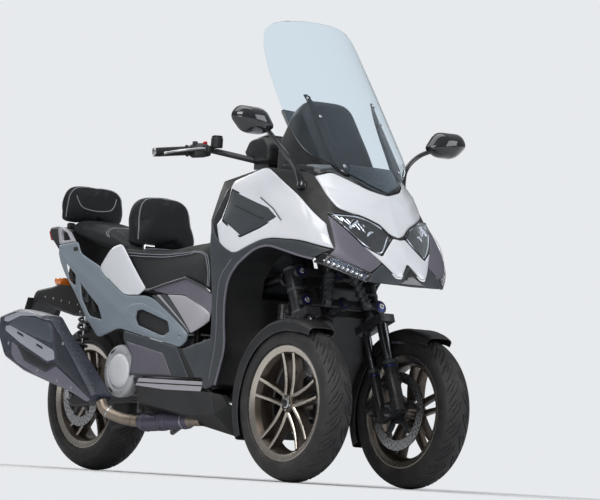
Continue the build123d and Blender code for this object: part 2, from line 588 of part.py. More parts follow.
belly = tray_loft(0, 0) - tray_loft(6, 6)
SILL = [(880, 349), (502, 341), (494, 306), (715, 309), (900, 323)]
sill = side_prism(SILL, 284, 318)
belly += sill + across(sill)
collector_way = rod((-214, 1020, 190.3), (-204.6, 820, 197.9), COLLECTOR_R + 4)
parts["belly_pan"] = belly - tube(PIPE, [24, 60], 24) - collector_way
body_core = stations_loft([[(0, y, -20)] + [(w - SKIN - RUN, y, z) for w, z in line] + [(0, y, 1000)]
                           for y, *line in BODY])
floor = side_prism([(430, 462), (700, 462), (700, 440), (430, 440)], 136, 360) & body_core
footboards = pair(floor - core)
TUNNEL = [(440, 440), (440, 870), (474, 855), (492, 760), (510, 690), (560, 668), (700, 672), (700, 440)]
TUNNEL_SPACE = [(400, 400), (400, 880), (467, 850), (485, 758), (504, 685), (558, 662), (710, 666),
                (710, 400)]
tunnel = side_prism(TUNNEL, -135.7, 135.7) - core - side_prism(TUNNEL_SPACE, -130, 130)
parts["floor_panels"] = join([footboards, tunnel])

# Screen: a single-curved sheet, cut to its front outline
SCREEN_BASE, SCREEN_TOP = (-107, 1033), (363, 1667)
SCREEN_SAG = 118
SCREEN_T = 5
SCREEN = [(0, 1033), (60, 1058), (228, 1170), (238, 1300), (232, 1470), (215, 1580), (172, 1642),
          (92, 1664), (0, 1668)]
rise = Vector(0, SCREEN_TOP[0] - SCREEN_BASE[0], SCREEN_TOP[1] - SCREEN_BASE[1])


def screen_arc(back):
    y, z = SCREEN_BASE[0] - 120 + back, SCREEN_BASE[1] - 120 * rise.Z / rise.Y
    return ThreePointArc((-250, y + SCREEN_SAG, z), (0, y, z), (250, y + SCREEN_SAG, z))


def screen_sheet(thickness):
    front, back = screen_arc(0), screen_arc(thickness)
    face = make_face([front, back, Line(front @ 0, back @ 0), Line(front @ 1, back @ 1)])
    return extrude(face, amount=rise.length + 320, dir=rise.normalized())


parts["windscreen"] = screen_sheet(SCREEN_T) & front_prism(middle_outline(SCREEN), -300, 700)
def screen_y(x, z, back=0.0):
    """Fore and aft place of the sheet at a height and half width."""
    arc_r = (250 ** 2 + SCREEN_SAG ** 2) / (2 * SCREEN_SAG)
    sag = arc_r - (arc_r ** 2 - x ** 2) ** 0.5
    return SCREEN_BASE[0] + (z - SCREEN_BASE[1]) * rise.Y / rise.Z + sag + back


BRACE_X = (118, 128)
brace_front = [(screen_y(BRACE_X[1], z, SCREEN_T + RUN), z) for z in (1090, 1380)]
brace = side_prism(brace_front + [(205, 1380), (150, 1080)], *BRACE_X)
braces = pair(brace - core)
DASH = [(60, 1095), (120, 1190), (255, 1378), (290, 1378), (405, 1240), (425, 1160), (420, 1080)]
parts["dash"] = join([side_prism(DASH, -105, 105) - core, braces])

# Mirrors
MIRROR = [(60, [(350, 1235), (395, 1300), (500, 1290), (515, 1250), (470, 1215)]),
          (120, [(345, 1232), (392, 1318), (530, 1300), (538, 1250), (480, 1205)])]
head = stations_loft([[(x, y, z) for x, z in outline] for y, outline in MIRROR])
stalk = tube([(226, 80, 1040), (262, 100, 1130), (360, 90, 1245)], [60], 10)
parts["mirrors"] = pair(head + stalk - core)
parts["mirror_glass"] = pair(Pos(440, 122, 1262) * Box(150, 3, 80))

# Handlebar, turning about the steering head
stem = rod(head_point(HEAD_LOW), head_point(1150), 17)
clamp = Pos(*head_point(1155, 40)) * Box(110, 90, 40)
bar = tube([(0, 575, 1165), (70, 575, 1165), (190, 690, 1196), (BAR_HALF, 750, 1170)], [30, 40], 11)
parts["handlebar"] = stem + clamp + bar + across(bar)
BAR_COVER = [(480, 1152), (480, 1222), (522, 1262), (612, 1250), (648, 1196), (606, 1150)]
parts["bar_cover"] = bevelled_prism(BAR_COVER, -84, 84, 14, 22) - parts["handlebar"]
grip_line = Vector(BAR_HALF - 190, 60, -26).normalized()
grip_end = Vector(BAR_HALF, 750, 1170)
parts["grips"] = pair(rod(tuple(grip_end - grip_line * 125), tuple(grip_end + grip_line * 6), 17)
                      - rod(tuple(grip_end - grip_line * 130), tuple(grip_end), 11 + RUN))
pods = Pos(237, 698, 1194) * Box(58, 70, 60) - rod((190, 690, 1196), tuple(grip_end), 11 + RUN)
levers = tube([(225, 656.5, 1195), (270, 656.5, 1190), (385, 700, 1165)], [30], 6)
parts["bar_controls"] = pair(pods + levers)

# Centre stand, folded up under the swingarm pivot
leg = tube([(112, STAND_Y, STAND_Z), (120, STAND_Y + 110, STAND_Z - 45), (140, STAND_Y + 208, STAND_Z - 78)],
           [60], 11)
stand = leg + across(leg) + disc_x(-118, 118, STAND_Y + 85, STAND_Z - 35, 9)
stand += disc_x(-122, 122, STAND_Y, STAND_Z, 15) - disc_x(-130, 130, STAND_Y, STAND_Z, 8.05)
parts["centre_stand"] = stand - disc_x(-130, 130, STAND_Y, STAND_Z, 8.05)


# Output
os.makedirs("parts", exist_ok=True)
for node, shape in parts.items():
    solids = shape.solids()
    moved = [Pos(0, -MID_Y, 0) * solid for solid in solids]
    export_step(moved[0] if len(moved) == 1 else Compound(moved), "parts/" + node + ".step")
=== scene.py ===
import math
import bpy
import numpy as np
from mathutils import Matrix, Vector
from mathutils.bvhtree import BVHTree
from mathutils.geometry import delaunay_2d_cdt


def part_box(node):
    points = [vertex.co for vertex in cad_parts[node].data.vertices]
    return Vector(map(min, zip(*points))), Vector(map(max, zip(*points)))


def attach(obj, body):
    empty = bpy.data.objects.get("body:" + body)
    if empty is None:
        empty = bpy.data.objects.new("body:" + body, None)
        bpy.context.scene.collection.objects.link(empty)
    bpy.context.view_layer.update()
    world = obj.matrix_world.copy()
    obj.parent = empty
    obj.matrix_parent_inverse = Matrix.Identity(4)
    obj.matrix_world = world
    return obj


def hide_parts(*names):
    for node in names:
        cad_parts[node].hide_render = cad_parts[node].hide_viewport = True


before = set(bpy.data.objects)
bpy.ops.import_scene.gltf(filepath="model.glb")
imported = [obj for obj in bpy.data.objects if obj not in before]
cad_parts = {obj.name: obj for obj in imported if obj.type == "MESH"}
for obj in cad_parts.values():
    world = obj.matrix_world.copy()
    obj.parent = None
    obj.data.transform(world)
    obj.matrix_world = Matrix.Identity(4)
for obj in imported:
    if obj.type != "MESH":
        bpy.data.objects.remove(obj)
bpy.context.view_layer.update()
print("frame loaded:", len(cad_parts), "nodes")

# Lengths in this file are millimetres. x points to the vehicle's left, y to its rear counted
# from the front axle, z up from the floor. Meshes are turned into metres when they are built.


def nodeBox(node, axleY=0.0):
    # a CAD node's two corners in millimetres, with y counted from the given line
    low, high = (np.array(corner[:]) * 1000 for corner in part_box(node))
    low[1] -= axleY
    high[1] -= axleY
    return low, high


def middle(node, axleY=0.0):
    # the middle of a CAD node's box
    low, high = nodeBox(node, axleY)
    return (low + high) / 2


axleY = middle("tyre_front_right")[1]
frontHub = middle("tyre_front_left", axleY)
rearHub = middle("tyre_rear", axleY)
frontRadius = nodeBox("tyre_front_left")[1][2] - frontHub[2]
rearRadius = nodeBox("tyre_rear")[1][2] - rearHub[2]
sides = (("right", -1), ("left", 1))


def frontHubAt(side):
    # the middle of the front wheel on one side
    return np.array([side * abs(frontHub[0]), 0, frontHub[2]])


# Shapes: points with quads, triangles and a material number for each face

def shapeOf(points, quads, tris=None, mat=0):
    # arrays of points, quads and triangles, with one material number for all faces
    points = np.asarray(points, float).reshape(-1, 3)
    quads = np.asarray(quads, int).reshape(-1, 4)
    tris = np.zeros((0, 3), int) if tris is None else np.asarray(tris, int).reshape(-1, 3)
    return {"v": points, "q": quads, "t": tris,
            "qm": np.full(len(quads), mat), "tm": np.full(len(tris), mat)}


def joined(shapes):
    # one shape from several: the points in a row, and the face numbers moved on
    start, out = 0, {k: [] for k in ("v", "q", "t", "qm", "tm")}
    for s in shapes:
        out["v"].append(s["v"])
        out["q"].append(s["q"] + start)
        out["t"].append(s["t"] + start)
        out["qm"].append(s["qm"])
        out["tm"].append(s["tm"])
        start += len(s["v"])
    return {k: np.concatenate(v) for k, v in out.items()}


def outward(shape):
    # a closed shape whose signed volume is negative has its faces turned round
    v, q, t = shape["v"] - shape["v"].mean(0), shape["q"], shape["t"]
    volume = 0.0
    for a, b, c in ((q[:, 0], q[:, 1], q[:, 2]), (q[:, 0], q[:, 2], q[:, 3]), (t[:, 0], t[:, 1], t[:, 2])):
        volume += np.einsum("ij,ij->", v[a], np.cross(v[b], v[c]))
    if volume < 0:
        shape = dict(shape, q=q[:, ::-1], t=t[:, ::-1])
    return shape


def moved(shape, offset=(0, 0, 0), turn=None):
    # each point turned by the matrix about the origin, then moved by the offset
    v = shape["v"] if turn is None else shape["v"] @ np.asarray(turn).T
    return dict(shape, v=v + np.asarray(offset, float))


def mirrored(shape):
    # the other side's copy: x changes sign and the faces turn round with it
    return dict(shape, v=shape["v"] * (-1, 1, 1), q=shape["q"][:, ::-1], t=shape["t"][:, ::-1])


def bothSides(shape):
    # the shape and its mirror image across the vehicle's centre plane
    return joined([shape, mirrored(shape)])


def turnX(angle):
    # the matrix of a turn about the x axis
    c, s = math.cos(angle), math.sin(angle)
    return np.array([[1, 0, 0], [0, c, -s], [0, s, c]])


def gridQuads(rows, cols, wrapRows=False, wrapCols=False):
    # the four corners of each cell of a grid, with the last row or column tied to the first
    i = np.arange(rows if wrapRows else rows - 1)[:, None]
    j = np.arange(cols if wrapCols else cols - 1)[None, :]
    a, b, c, d = np.broadcast_arrays(i * cols + j, (i + 1) % rows * cols + j,
                                     (i + 1) % rows * cols + (j + 1) % cols, i * cols + (j + 1) % cols)
    return np.stack([a, b, c, d], -1).reshape(-1, 4)


def atX(x, loop):
    # a side outline of (y, z) points placed at x
    return np.concatenate([np.full((len(loop), 1), float(x)), loop], 1)


def sideSweep(outline, stations):
    # a side outline carried across the vehicle: at each (x, inset) station it is drawn in by the inset
    return [atX(x, insetLoop(outline, inset)) for x, inset in stations]


def flatSide(x):
    # a place for panels that lie on the flat face at x
    return lambda flat: atX(x, flat)


def loops(points, mat=0, wrap=False, capStart=True, capEnd=True):
    # rows of closed loops joined into a skin: point (u, v) is row u, step v round the loop.
    # An end row is closed by a fan to its own middle.
    points = np.asarray(points, float)
    rows, cols = points.shape[:2]
    flat = points.reshape(-1, 3)
    tris = []
    extra = []
    step = np.arange(cols)
    if not wrap:
        for row, cap, order in ((0, capStart, -1), (rows - 1, capEnd, 1)):
            if cap:
                centre = len(flat) + len(extra)
                extra.append(points[row].mean(0))
                fan = np.stack([row * cols + step, row * cols + (step + 1) % cols,
                                np.full(cols, centre)], -1)
                tris.append(fan[:, ::order])
    if extra:
        flat = np.concatenate([flat, extra])
    quads = gridQuads(rows, cols, wrap, True)
    return outward(shapeOf(flat, quads[:, ::-1], np.concatenate(tris) if tris else None, mat))


def gridNormals(points):
    # unit normal at each grid point: the cross product of the two grid directions
    along = np.gradient(points, axis=0)
    across = np.gradient(points, axis=1)
    normal = np.cross(along, across)
    return normal / np.maximum(np.linalg.norm(normal, axis=-1, keepdims=True), 1e-9)


def plate(points, thickness, mat=0, backMat=None):
    # a sheet with thickness: the grid, a copy moved back along the normals, and a rim that joins them
    points = np.asarray(points, float)
    rows, cols = points.shape[:2]
    back = points - gridNormals(points) * thickness
    count = rows * cols
    front = gridQuads(rows, cols)
    edge = np.concatenate([np.arange(cols), np.arange(1, rows) * cols + cols - 1,
                           (rows - 1) * cols + np.arange(cols - 2, -1, -1),
                           np.arange(rows - 2, 0, -1) * cols])
    following = np.roll(edge, -1)
    rim = np.stack([edge, following, following + count, edge + count], -1)
    shape = shapeOf(np.concatenate([points.reshape(-1, 3), back.reshape(-1, 3)]),
                    np.concatenate([front, front[:, ::-1] + count, rim]), mat=mat)
    if backMat is not None:
        shape["qm"][len(front):2 * len(front)] = backMat
    return outward(shape)


def smoothThrough(knots, values, at):
    # cubic curve through the values with the slope of the neighbours at each knot (Hermite form)
    knots, values, at = np.asarray(knots, float), np.asarray(values, float), np.asarray(at, float)
    slope = np.gradient(values, knots, axis=0)
    k = np.clip(np.searchsorted(knots, at, side="right") - 1, 0, len(knots) - 2)
    h = knots[k + 1] - knots[k]
    t = (at - knots[k]) / h
    shape = t.shape + (1,) * (values.ndim - 1)
    t, h = t.reshape(shape), h.reshape(shape)
    return ((2 * t ** 3 - 3 * t ** 2 + 1) * values[k] + (t ** 3 - 2 * t ** 2 + t) * h * slope[k]
            + (3 * t ** 2 - 2 * t ** 3) * values[k + 1] + (t ** 3 - t ** 2) * h * slope[k + 1])


def smoothLine(points, count):
    # evenly stepped points on a smooth curve through the given ones
    points = np.asarray(points, float)
    if len(points) == 2:
        return points[0] + (points[1] - points[0]) * np.linspace(0, 1, count)[:, None]
    gaps = np.concatenate([[0], np.cumsum(np.linalg.norm(np.diff(points, axis=0), axis=1))])
    return smoothThrough(gaps, points, np.linspace(0, gaps[-1], count))


def roundedLine(points, radius, arcSteps=6):
    # a line of straight runs whose corners are rounded: each corner gives way to a short curve
    # that leaves the runs at the radius's distance before and after it
    points = np.asarray(points, float)
    out = [points[:1]]
    t = np.linspace(0, 1, arcSteps)[:, None]
    for a, b, c in zip(points[:-2], points[1:-1], points[2:]):
        ab, bc = a - b, c - b
        reach = min(radius, np.linalg.norm(ab) * 0.48, np.linalg.norm(bc) * 0.48)
        start = b + ab / np.linalg.norm(ab) * reach
        end = b + bc / np.linalg.norm(bc) * reach
        out.append((1 - t) ** 2 * start + 2 * t * (1 - t) * b + t ** 2 * end)
    out.append(points[-1:])
    return np.concatenate(out)


def frames(path):
    # at each path point, two unit vectors square to the path that turn as little as possible
    tangent = np.gradient(path, axis=0)
    tangent /= np.linalg.norm(tangent, axis=1, keepdims=True)
    side = np.cross(tangent[0], (0, 0, 1) if abs(tangent[0][2]) < 0.9 else (1, 0, 0))
    sideways = np.zeros_like(path)
    for k, t in enumerate(tangent):
        side = side - t * np.dot(side, t)
        side = side / np.linalg.norm(side)
        sideways[k] = side
    return sideways, np.cross(tangent, sideways)


def tube(path, radius, steps=14, mat=0, wrap=False):
    # a round section carried along a path; the radius is one number or one for each path point
    path = np.asarray(path, float)
    across, up = frames(path)
    turn = np.linspace(0, 2 * np.pi, steps, endpoint=False)
    radius = np.broadcast_to(np.asarray(radius, float), (len(path),))[:, None, None]
    ring = (across[:, None] * np.cos(turn)[None, :, None] + up[:, None] * np.sin(turn)[None, :, None])
    return loops(path[:, None] + ring * radius, mat, wrap)


def spun(profile, centre=(0, 0, 0), steps=64, mat=0, axis="x", closed=True):
    # a profile of (along, radius) points turned round an axis through the centre
    profile = np.asarray(profile, float)
    turn = np.linspace(0, 2 * np.pi, steps, endpoint=False)[:, None]
    along = np.broadcast_to(profile[:, 0], (steps, len(profile)))
    a, b = profile[:, 1] * np.cos(turn), profile[:, 1] * np.sin(turn)
    order = {"x": (along, a, b), "y": (b, along, a), "z": (a, b, along)}[axis]
    points = np.stack(order, -1) + np.asarray(centre, float)
    if closed:
        quads = gridQuads(steps, len(profile), True, True)
        return outward(shapeOf(points, quads, mat=mat))
    return outward(loops(points.transpose(1, 0, 2), mat))


def spiral(start, end, radius, wire, turns, mat=0, endTurns=0.8):
    # a spring: a wire round the line from start to end, its turns closer together at both ends
    start, end = np.asarray(start, float), np.asarray(end, float)
    t = np.linspace(0, 1, int(turns * 16) + 1)
    reach = np.linalg.norm(end - start)
    across, up = frames(np.stack([start, (start + end) / 2, end]))
    ease = endTurns / turns
    along = np.interp(t, [0, ease, 1 - ease, 1], [0, wire / reach, 1 - wire / reach, 1])
    angle = 2 * np.pi * turns * t
    path = (start + (end - start) * along[:, None]
            + radius * (across[0] * np.cos(angle)[:, None] + up[0] * np.sin(angle)[:, None]))
    return tube(path, wire, 8, mat)


def boltHead(at, direction, size=6.0, height=5.0, mat=0, sunk=True):
    # a socket screw: a round head with a chamfer and a six-sided pit, turned to its direction
    profile = [(-2, size), (height - 1, size), (height, size - 1.2), (height, size * 0.55)]
    if sunk:
        profile += [(height * 0.35, size * 0.5)]
    shape = spun(profile, steps=12, mat=mat, closed=False)
    d = np.asarray(direction, float)
    d = d / np.linalg.norm(d)
    side = np.cross(d, (0, 0, 1) if abs(d[2]) < 0.9 else (0, 1, 0))
    side /= np.linalg.norm(side)
    return outward(moved(shape, at, np.stack([d, side, np.cross(d, side)], 1)))


def chamferBox(low, high, chamfer=2.0, mat=0):
    # a box given by two corners whose section in x and y has cut corners and whose ends step in
    low, high = np.asarray(low, float), np.asarray(high, float)
    c = min(chamfer, *(0.45 * (high - low)))
    x0, y0, z0 = low
    x1, y1, z1 = high
    rows = []
    for z, inset in ((z0, c), (z0 + c, 0), (z1 - c, 0), (z1, c)):
        a0, a1, b0, b1 = x0 + inset, x1 - inset, y0 + inset, y1 - inset
        rows.append([(a0 + c, b0, z), (a1 - c, b0, z), (a1, b0 + c, z), (a1, b1 - c, z),
                     (a1 - c, b1, z), (a0 + c, b1, z), (a0, b1 - c, z), (a0, b0 + c, z)])
    return loops(rows, mat)


def slab(outline, x0, x1, chamfer=1.5, mat=0):
    # a plate across the vehicle from a (y, z) outline, with its edges cut back at both faces
    outline = np.asarray(outline, float)
    ahead, behind = np.roll(outline, -1, 0) - outline, outline - np.roll(outline, 1, 0)
    ahead /= np.linalg.norm(ahead, axis=1, keepdims=True)
    behind /= np.linalg.norm(behind, axis=1, keepdims=True)
    area = np.sum(outline[:, 0] * np.roll(outline[:, 1], -1) - np.roll(outline[:, 0], -1) * outline[:, 1])
    inwards = np.sign(area) * np.stack([-(ahead + behind)[:, 1], (ahead + behind)[:, 0]], 1)
    inwards /= np.maximum(np.linalg.norm(inwards, axis=1, keepdims=True), 1e-6)
    rows = [(x0, chamfer), (x0 + np.sign(x1 - x0) * chamfer, 0), (x1 - np.sign(x1 - x0) * chamfer, 0),
            (x1, chamfer)]
    return earClipped([atX(x, outline + inwards * inset) for x, inset in rows], mat)


def earClipped(rows, mat=0):
    # rows of the same closed outline joined into a skin; both ends are filled by cutting off
    # the outline's ears one after another, so a hollow outline is filled correctly
    rows = np.asarray(rows, float)
    count = rows.shape[1]
    flat = rows[0][:, 1:] if np.ptp(rows[0][:, 0]) < 1e-6 else rows[0][:, [0, 2]]
    if np.ptp(rows[0][:, 2]) < 1e-6:
        flat = rows[0][:, :2]
    left = list(range(count))
    area = np.sum(flat[:, 0] * np.roll(flat[:, 1], -1) - np.roll(flat[:, 0], -1) * flat[:, 1])
    if area < 0:
        left = left[::-1]
    ears = []

    def cross(a, b, c):
        # twice the area of a triangle, positive where it runs anticlockwise
        return (b[0] - a[0]) * (c[1] - a[1]) - (b[1] - a[1]) * (c[0] - a[0])

    while len(left) > 3:
        for k in range(len(left)):
            i, j, l = left[k - 1], left[k], left[(k + 1) % len(left)]
            a, b, c = flat[i], flat[j], flat[l]
            if cross(a, b, c) <= 1e-9:
                continue
            rest = [flat[n] for n in left if n not in (i, j, l)]
            if not any(cross(a, b, p) >= 0 and cross(b, c, p) >= 0 and cross(c, a, p) >= 0 for p in rest):
                ears.append((i, j, l))
                left.pop(k)
                break
        else:
            left.pop()
    ears.append(tuple(left))
    ears = np.array(ears)
    if area < 0:
        ears = ears[:, ::-1]
    last = (len(rows) - 1) * count
    quads = gridQuads(len(rows), count, False, True)
    return outward(shapeOf(rows.reshape(-1, 3), quads, np.concatenate([ears, ears[:, ::-1] + last]), mat))


def piece(name, shape, body, materials, replaces=(), sharp=38, bevel=0.0, segments=2, angle=35):
    # builds the mesh: points to metres in the frame, faces by arrays, then body, slot and edges
    mesh = bpy.data.meshes.new(name)
    points = (shape["v"] + (0, axleY, 0)) * 0.001
    quads, tris = shape["q"], shape["t"]
    mesh.vertices.add(len(points))
    mesh.vertices.foreach_set("co", points.astype(np.float32).ravel())
    corners = np.concatenate([quads.ravel(), tris.ravel()]).astype(np.int32)
    mesh.loops.add(len(corners))
    mesh.loops.foreach_set("vertex_index", corners)
    starts = np.concatenate([np.arange(len(quads)) * 4, len(quads) * 4 + np.arange(len(tris)) * 3])
    mesh.polygons.add(len(starts))
    mesh.polygons.foreach_set("loop_start", starts.astype(np.int32))
    mesh.polygons.foreach_set("material_index", np.concatenate([shape["qm"], shape["tm"]]).astype(np.int32))
    for finishName in [materials] if isinstance(materials, str) else materials:
        mesh.materials.append(mats[finishName])
    mesh.update(calc_edges=True)
    mesh.validate()
    mesh.shade_smooth()
    mesh.set_sharp_from_angle(angle=math.radians(sharp))
    obj = bpy.data.objects.new(name, mesh)
    bpy.context.scene.collection.objects.link(obj)
    if bevel:
        mod = obj.modifiers.new("edges", "BEVEL")
        mod.width, mod.segments, mod.limit_method = bevel * 0.001, segments, "ANGLE"
        mod.angle_limit, mod.harden_normals, mod.use_clamp_overlap = math.radians(angle), False, True
    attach(obj, body)
    if replaces:
        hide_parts(*replaces)
    return obj


# Shader groups

def addNode(tree, kind, settings=None, inputs=None):
    # a shader or geometry node: its settings, then each input's value or the socket that feeds it
    node = tree.nodes.new(kind)
    for key, value in (settings or {}).items():
        setattr(node, key, value)
    for key, value in (inputs or {}).items():
        if isinstance(value, bpy.types.NodeSocket):
            tree.links.new(value, node.inputs[key])
        else:
            node.inputs[key].default_value = value
    return node


def objectPlace(tree):
    # the Object coordinates of the piece
    return addNode(tree, "ShaderNodeTexCoord").outputs["Object"]


def maths(tree, operation, *values, clamp=False):
    # the result of one operation on numbers or sockets
    settings = {"operation": operation, "use_clamp": clamp}
    return addNode(tree, "ShaderNodeMath", settings, dict(enumerate(values))).outputs[0]


def ranged(tree, value, fromMin, fromMax, toMin=0.0, toMax=1.0):
    # a value moved in a straight line from one range to another, and held at both ends
    limits = {"From Min": fromMin, "From Max": fromMax, "To Min": toMin, "To Max": toMax}
    return addNode(tree, "ShaderNodeMapRange", None, {"Value": value, **limits}).outputs[0]


def noiseAt(tree, place, scale, detail=2.0, rough=0.5):
    # smooth noise with the given scale and detail
    values = {"Vector": place, "Scale": scale, "Detail": detail, "Roughness": rough}
    return addNode(tree, "ShaderNodeTexNoise", None, values).outputs["Fac"]


def heightOf(tree, vector):
    # the z share of a vector
    return addNode(tree, "ShaderNodeSeparateXYZ", None, {0: vector}).outputs["Z"]


def mixed(tree, kind, factor, a, b):
    # the mix of two colours or numbers by the factor
    return addNode(tree, "ShaderNodeMix", {"data_type": kind},
                   {"Factor": factor, "A": a, "B": b}).outputs["Result"]


def newGroup(name, inputs, outputs):
    # an empty shader group whose sockets are (name, kind, value) rows, and its given and put out ends
    tree = bpy.data.node_groups.new(name, "ShaderNodeTree")
    for label, kind, value in inputs:
        socket = tree.interface.new_socket(label, in_out="INPUT", socket_type="NodeSocket" + kind)
        socket.default_value = value
    for label, kind in outputs:
        tree.interface.new_socket(label, in_out="OUTPUT", socket_type="NodeSocket" + kind)
    return tree, addNode(tree, "NodeGroupInput").outputs, addNode(tree, "NodeGroupOutput").inputs


def makePaintedHighlight():
    # painted highlight on raised edges: colour turned lighter or darker towards the edge colour there, broken
    # up by noise; every finish gives a lighter edge colour, standing in for the light that catches the edges
    tree, given, out = newGroup("edgeWear", [("Color", "Color", (1, 1, 1, 1)),
                                             ("Edge", "Color", (1, 1, 1, 1)), ("Amount", "Float", 0.5),
                                             ("Scale", "Float", 90.0)],
                                [("Color", "Color"), ("Mask", "Float")])
    ridge = ranged(tree, addNode(tree, "ShaderNodeNewGeometry").outputs["Pointiness"], 0.52, 0.62)
    broken = ranged(tree, noiseAt(tree, objectPlace(tree), given["Scale"], 4.0), 0.35, 0.65)
    mask = maths(tree, "MULTIPLY", maths(tree, "MULTIPLY", ridge, broken), given["Amount"])
    tree.links.new(mixed(tree, "RGBA", mask, given["Color"], given["Edge"]), out["Color"])
    tree.links.new(mask, out["Mask"])
    return tree


def makeDust():
    # a thin film of dust on faces that look upwards, thicker low on the vehicle
    tree, given, out = newGroup("roadDust", [("Color", "Color", (1, 1, 1, 1)),
                                             ("Dust", "Color", (0.4, 0.36, 0.31, 1)),
                                             ("Amount", "Float", 0.1), ("Roughness", "Float", 0.4)],
                                [("Color", "Color"), ("Roughness", "Float")])
    place = objectPlace(tree)
    up = ranged(tree, heightOf(tree, addNode(tree, "ShaderNodeNewGeometry").outputs["Normal"]), -0.2, 1.0,
                0.25)
    low = ranged(tree, heightOf(tree, place), 0.0, 0.9, 1.0, 0.35)
    value = ranged(tree, noiseAt(tree, place, 14.0, 6.0, 0.65), 0.38, 0.68)
    for factor in (up, low, given["Amount"]):
        value = maths(tree, "MULTIPLY", value, factor)
    rough = maths(tree, "MULTIPLY_ADD", value, 0.8, given["Roughness"], clamp=True)
    tree.links.new(mixed(tree, "RGBA", value, given["Color"], given["Dust"]), out["Color"])
    tree.links.new(rough, out["Roughness"])
    return tree


def makeMottle():
    # slow change of brightness over a surface, with a matching change of roughness
    tree, given, out = newGroup("mottle", [("Color", "Color", (1, 1, 1, 1)), ("Amount", "Float", 0.1),
                                           ("Scale", "Float", 6.0), ("Roughness", "Float", 0.4)],
                                [("Color", "Color"), ("Roughness", "Float")])
    swing = ranged(tree, noiseAt(tree, objectPlace(tree), given["Scale"], 5.0, 0.6), 0.3, 0.7, -1.0, 1.0)
    part = maths(tree, "MULTIPLY", swing, given["Amount"])
    colour = addNode(tree, "ShaderNodeVectorMath", {"operation": "SCALE"},
                     {0: given["Color"], "Scale": maths(tree, "ADD", part, 1.0)})
    rough = maths(tree, "MULTIPLY_ADD", part, 0.6, given["Roughness"], clamp=True)
    tree.links.new(colour.outputs[0], out["Color"])
    tree.links.new(rough, out["Roughness"])
    return tree


def makeGrain():
    # height of a moulded or cast surface: cells with soft walls, and fine noise over them
    tree, given, out = newGroup("mouldGrain", [("Scale", "Float", 900.0), ("Cells", "Float", 0.5)],
                                [("Height", "Float")])
    place = objectPlace(tree)
    cells = addNode(tree, "ShaderNodeTexVoronoi", {"feature": "SMOOTH_F1"},
                    {"Vector": place, "Scale": given["Scale"]})
    noise = noiseAt(tree, place, given["Scale"], 3.0)
    tree.links.new(mixed(tree, "FLOAT", given["Cells"], noise, cells.outputs["Distance"]), out["Height"])
    return tree


def makeBrushed():
    # height of fine scratches drawn along one axis: noise stretched by the given factors
    tree, given, out = newGroup("brushedLines", [("Stretch", "Vector", (40.0, 900.0, 900.0))],
                                [("Height", "Float")])
    drawn = addNode(tree, "ShaderNodeVectorMath", {"operation": "MULTIPLY"},
                    {0: objectPlace(tree), 1: given["Stretch"]})
    tree.links.new(noiseAt(tree, drawn.outputs[0], 1.0), out["Height"])
    return tree


def makeLeather():
    # height of leather grain: cells between creases that wander with a slow noise, and fine noise on top
    tree, given, out = newGroup("leatherGrain", [("Scale", "Float", 330.0)],
                                [("Height", "Float"), ("Crease", "Float")])
    place = objectPlace(tree)
    wobble = addNode(tree, "ShaderNodeTexNoise", None, {"Vector": place, "Scale": 60.0, "Detail": 2.0})
    bent = addNode(tree, "ShaderNodeVectorMath", {"operation": "MULTIPLY_ADD"},
                   {0: wobble.outputs["Color"], 1: (0.004, 0.004, 0.004), 2: place})
    large = addNode(tree, "ShaderNodeTexVoronoi", {"feature": "DISTANCE_TO_EDGE"},
                    {"Vector": bent.outputs[0], "Scale": given["Scale"]})
    crease = addNode(tree, "ShaderNodeMapRange", {"interpolation_type": "SMOOTHSTEP"},
                     {"Value": large.outputs["Distance"], "From Min": 0.0, "From Max": 0.18})
    height = maths(tree, "MULTIPLY_ADD", noiseAt(tree, place, 1500.0), 0.15, crease.outputs[0])
    tree.links.new(height, out["Height"])
    tree.links.new(crease.outputs[0], out["Crease"])
    return tree


groups = {"wear": makePaintedHighlight(), "dust": makeDust(), "mottle": makeMottle(), "grain": makeGrain(),
          "brushed": makeBrushed(), "leather": makeLeather()}


def useGroup(tree, name, inputs=None):
    # one of the groups placed in a material with its own values
    return addNode(tree, "ShaderNodeGroup", {"node_tree": groups[name]}, inputs)


def finish(name, color, rough, metallic=0.0, coat=0.0, coatRough=0.05, mottle=(0.06, 5.0), edge=None,
           dust=0.12, bump=None, bumpDepth=0.0, socket=None):
    # one finish: base colour through mottle, painted highlights on raised edges and dust, and a bump from one
    # of the groups
    mat = bpy.data.materials.new(name)
    mat.use_nodes = True
    tree = mat.node_tree
    shader = tree.nodes["Principled BSDF"]
    for key, value in {"Metallic": metallic, "Coat Weight": coat, "Coat Roughness": coatRough,
                       **(socket or {})}.items():
        shader.inputs[key].default_value = value
    base = useGroup(tree, "mottle", {"Color": (*color, 1), "Amount": mottle[0], "Scale": mottle[1],
                                     "Roughness": rough})
    colour, roughness = base.outputs["Color"], base.outputs["Roughness"]
    # painted highlight: the edge colour lightens raised edges where light would catch them
    if edge:
        colour = useGroup(tree, "wear", {"Color": colour, "Edge": (*edge[0], 1),
                                         "Amount": edge[1]}).outputs["Color"]
    if dust:
        film = useGroup(tree, "dust", {"Color": colour, "Amount": dust, "Roughness": roughness})
        colour, roughness = film.outputs["Color"], film.outputs["Roughness"]
    tree.links.new(colour, shader.inputs["Base Color"])
    tree.links.new(roughness, shader.inputs["Roughness"])
    if bump:
        kind, values = bump
        height = useGroup(tree, kind, values).outputs["Height"]
        relief = addNode(tree, "ShaderNodeBump", None, {"Height": height, "Strength": 1.0,
                                                        "Distance": bumpDepth * 0.001})
        tree.links.new(relief.outputs["Normal"], shader.inputs["Normal"])
    return mat


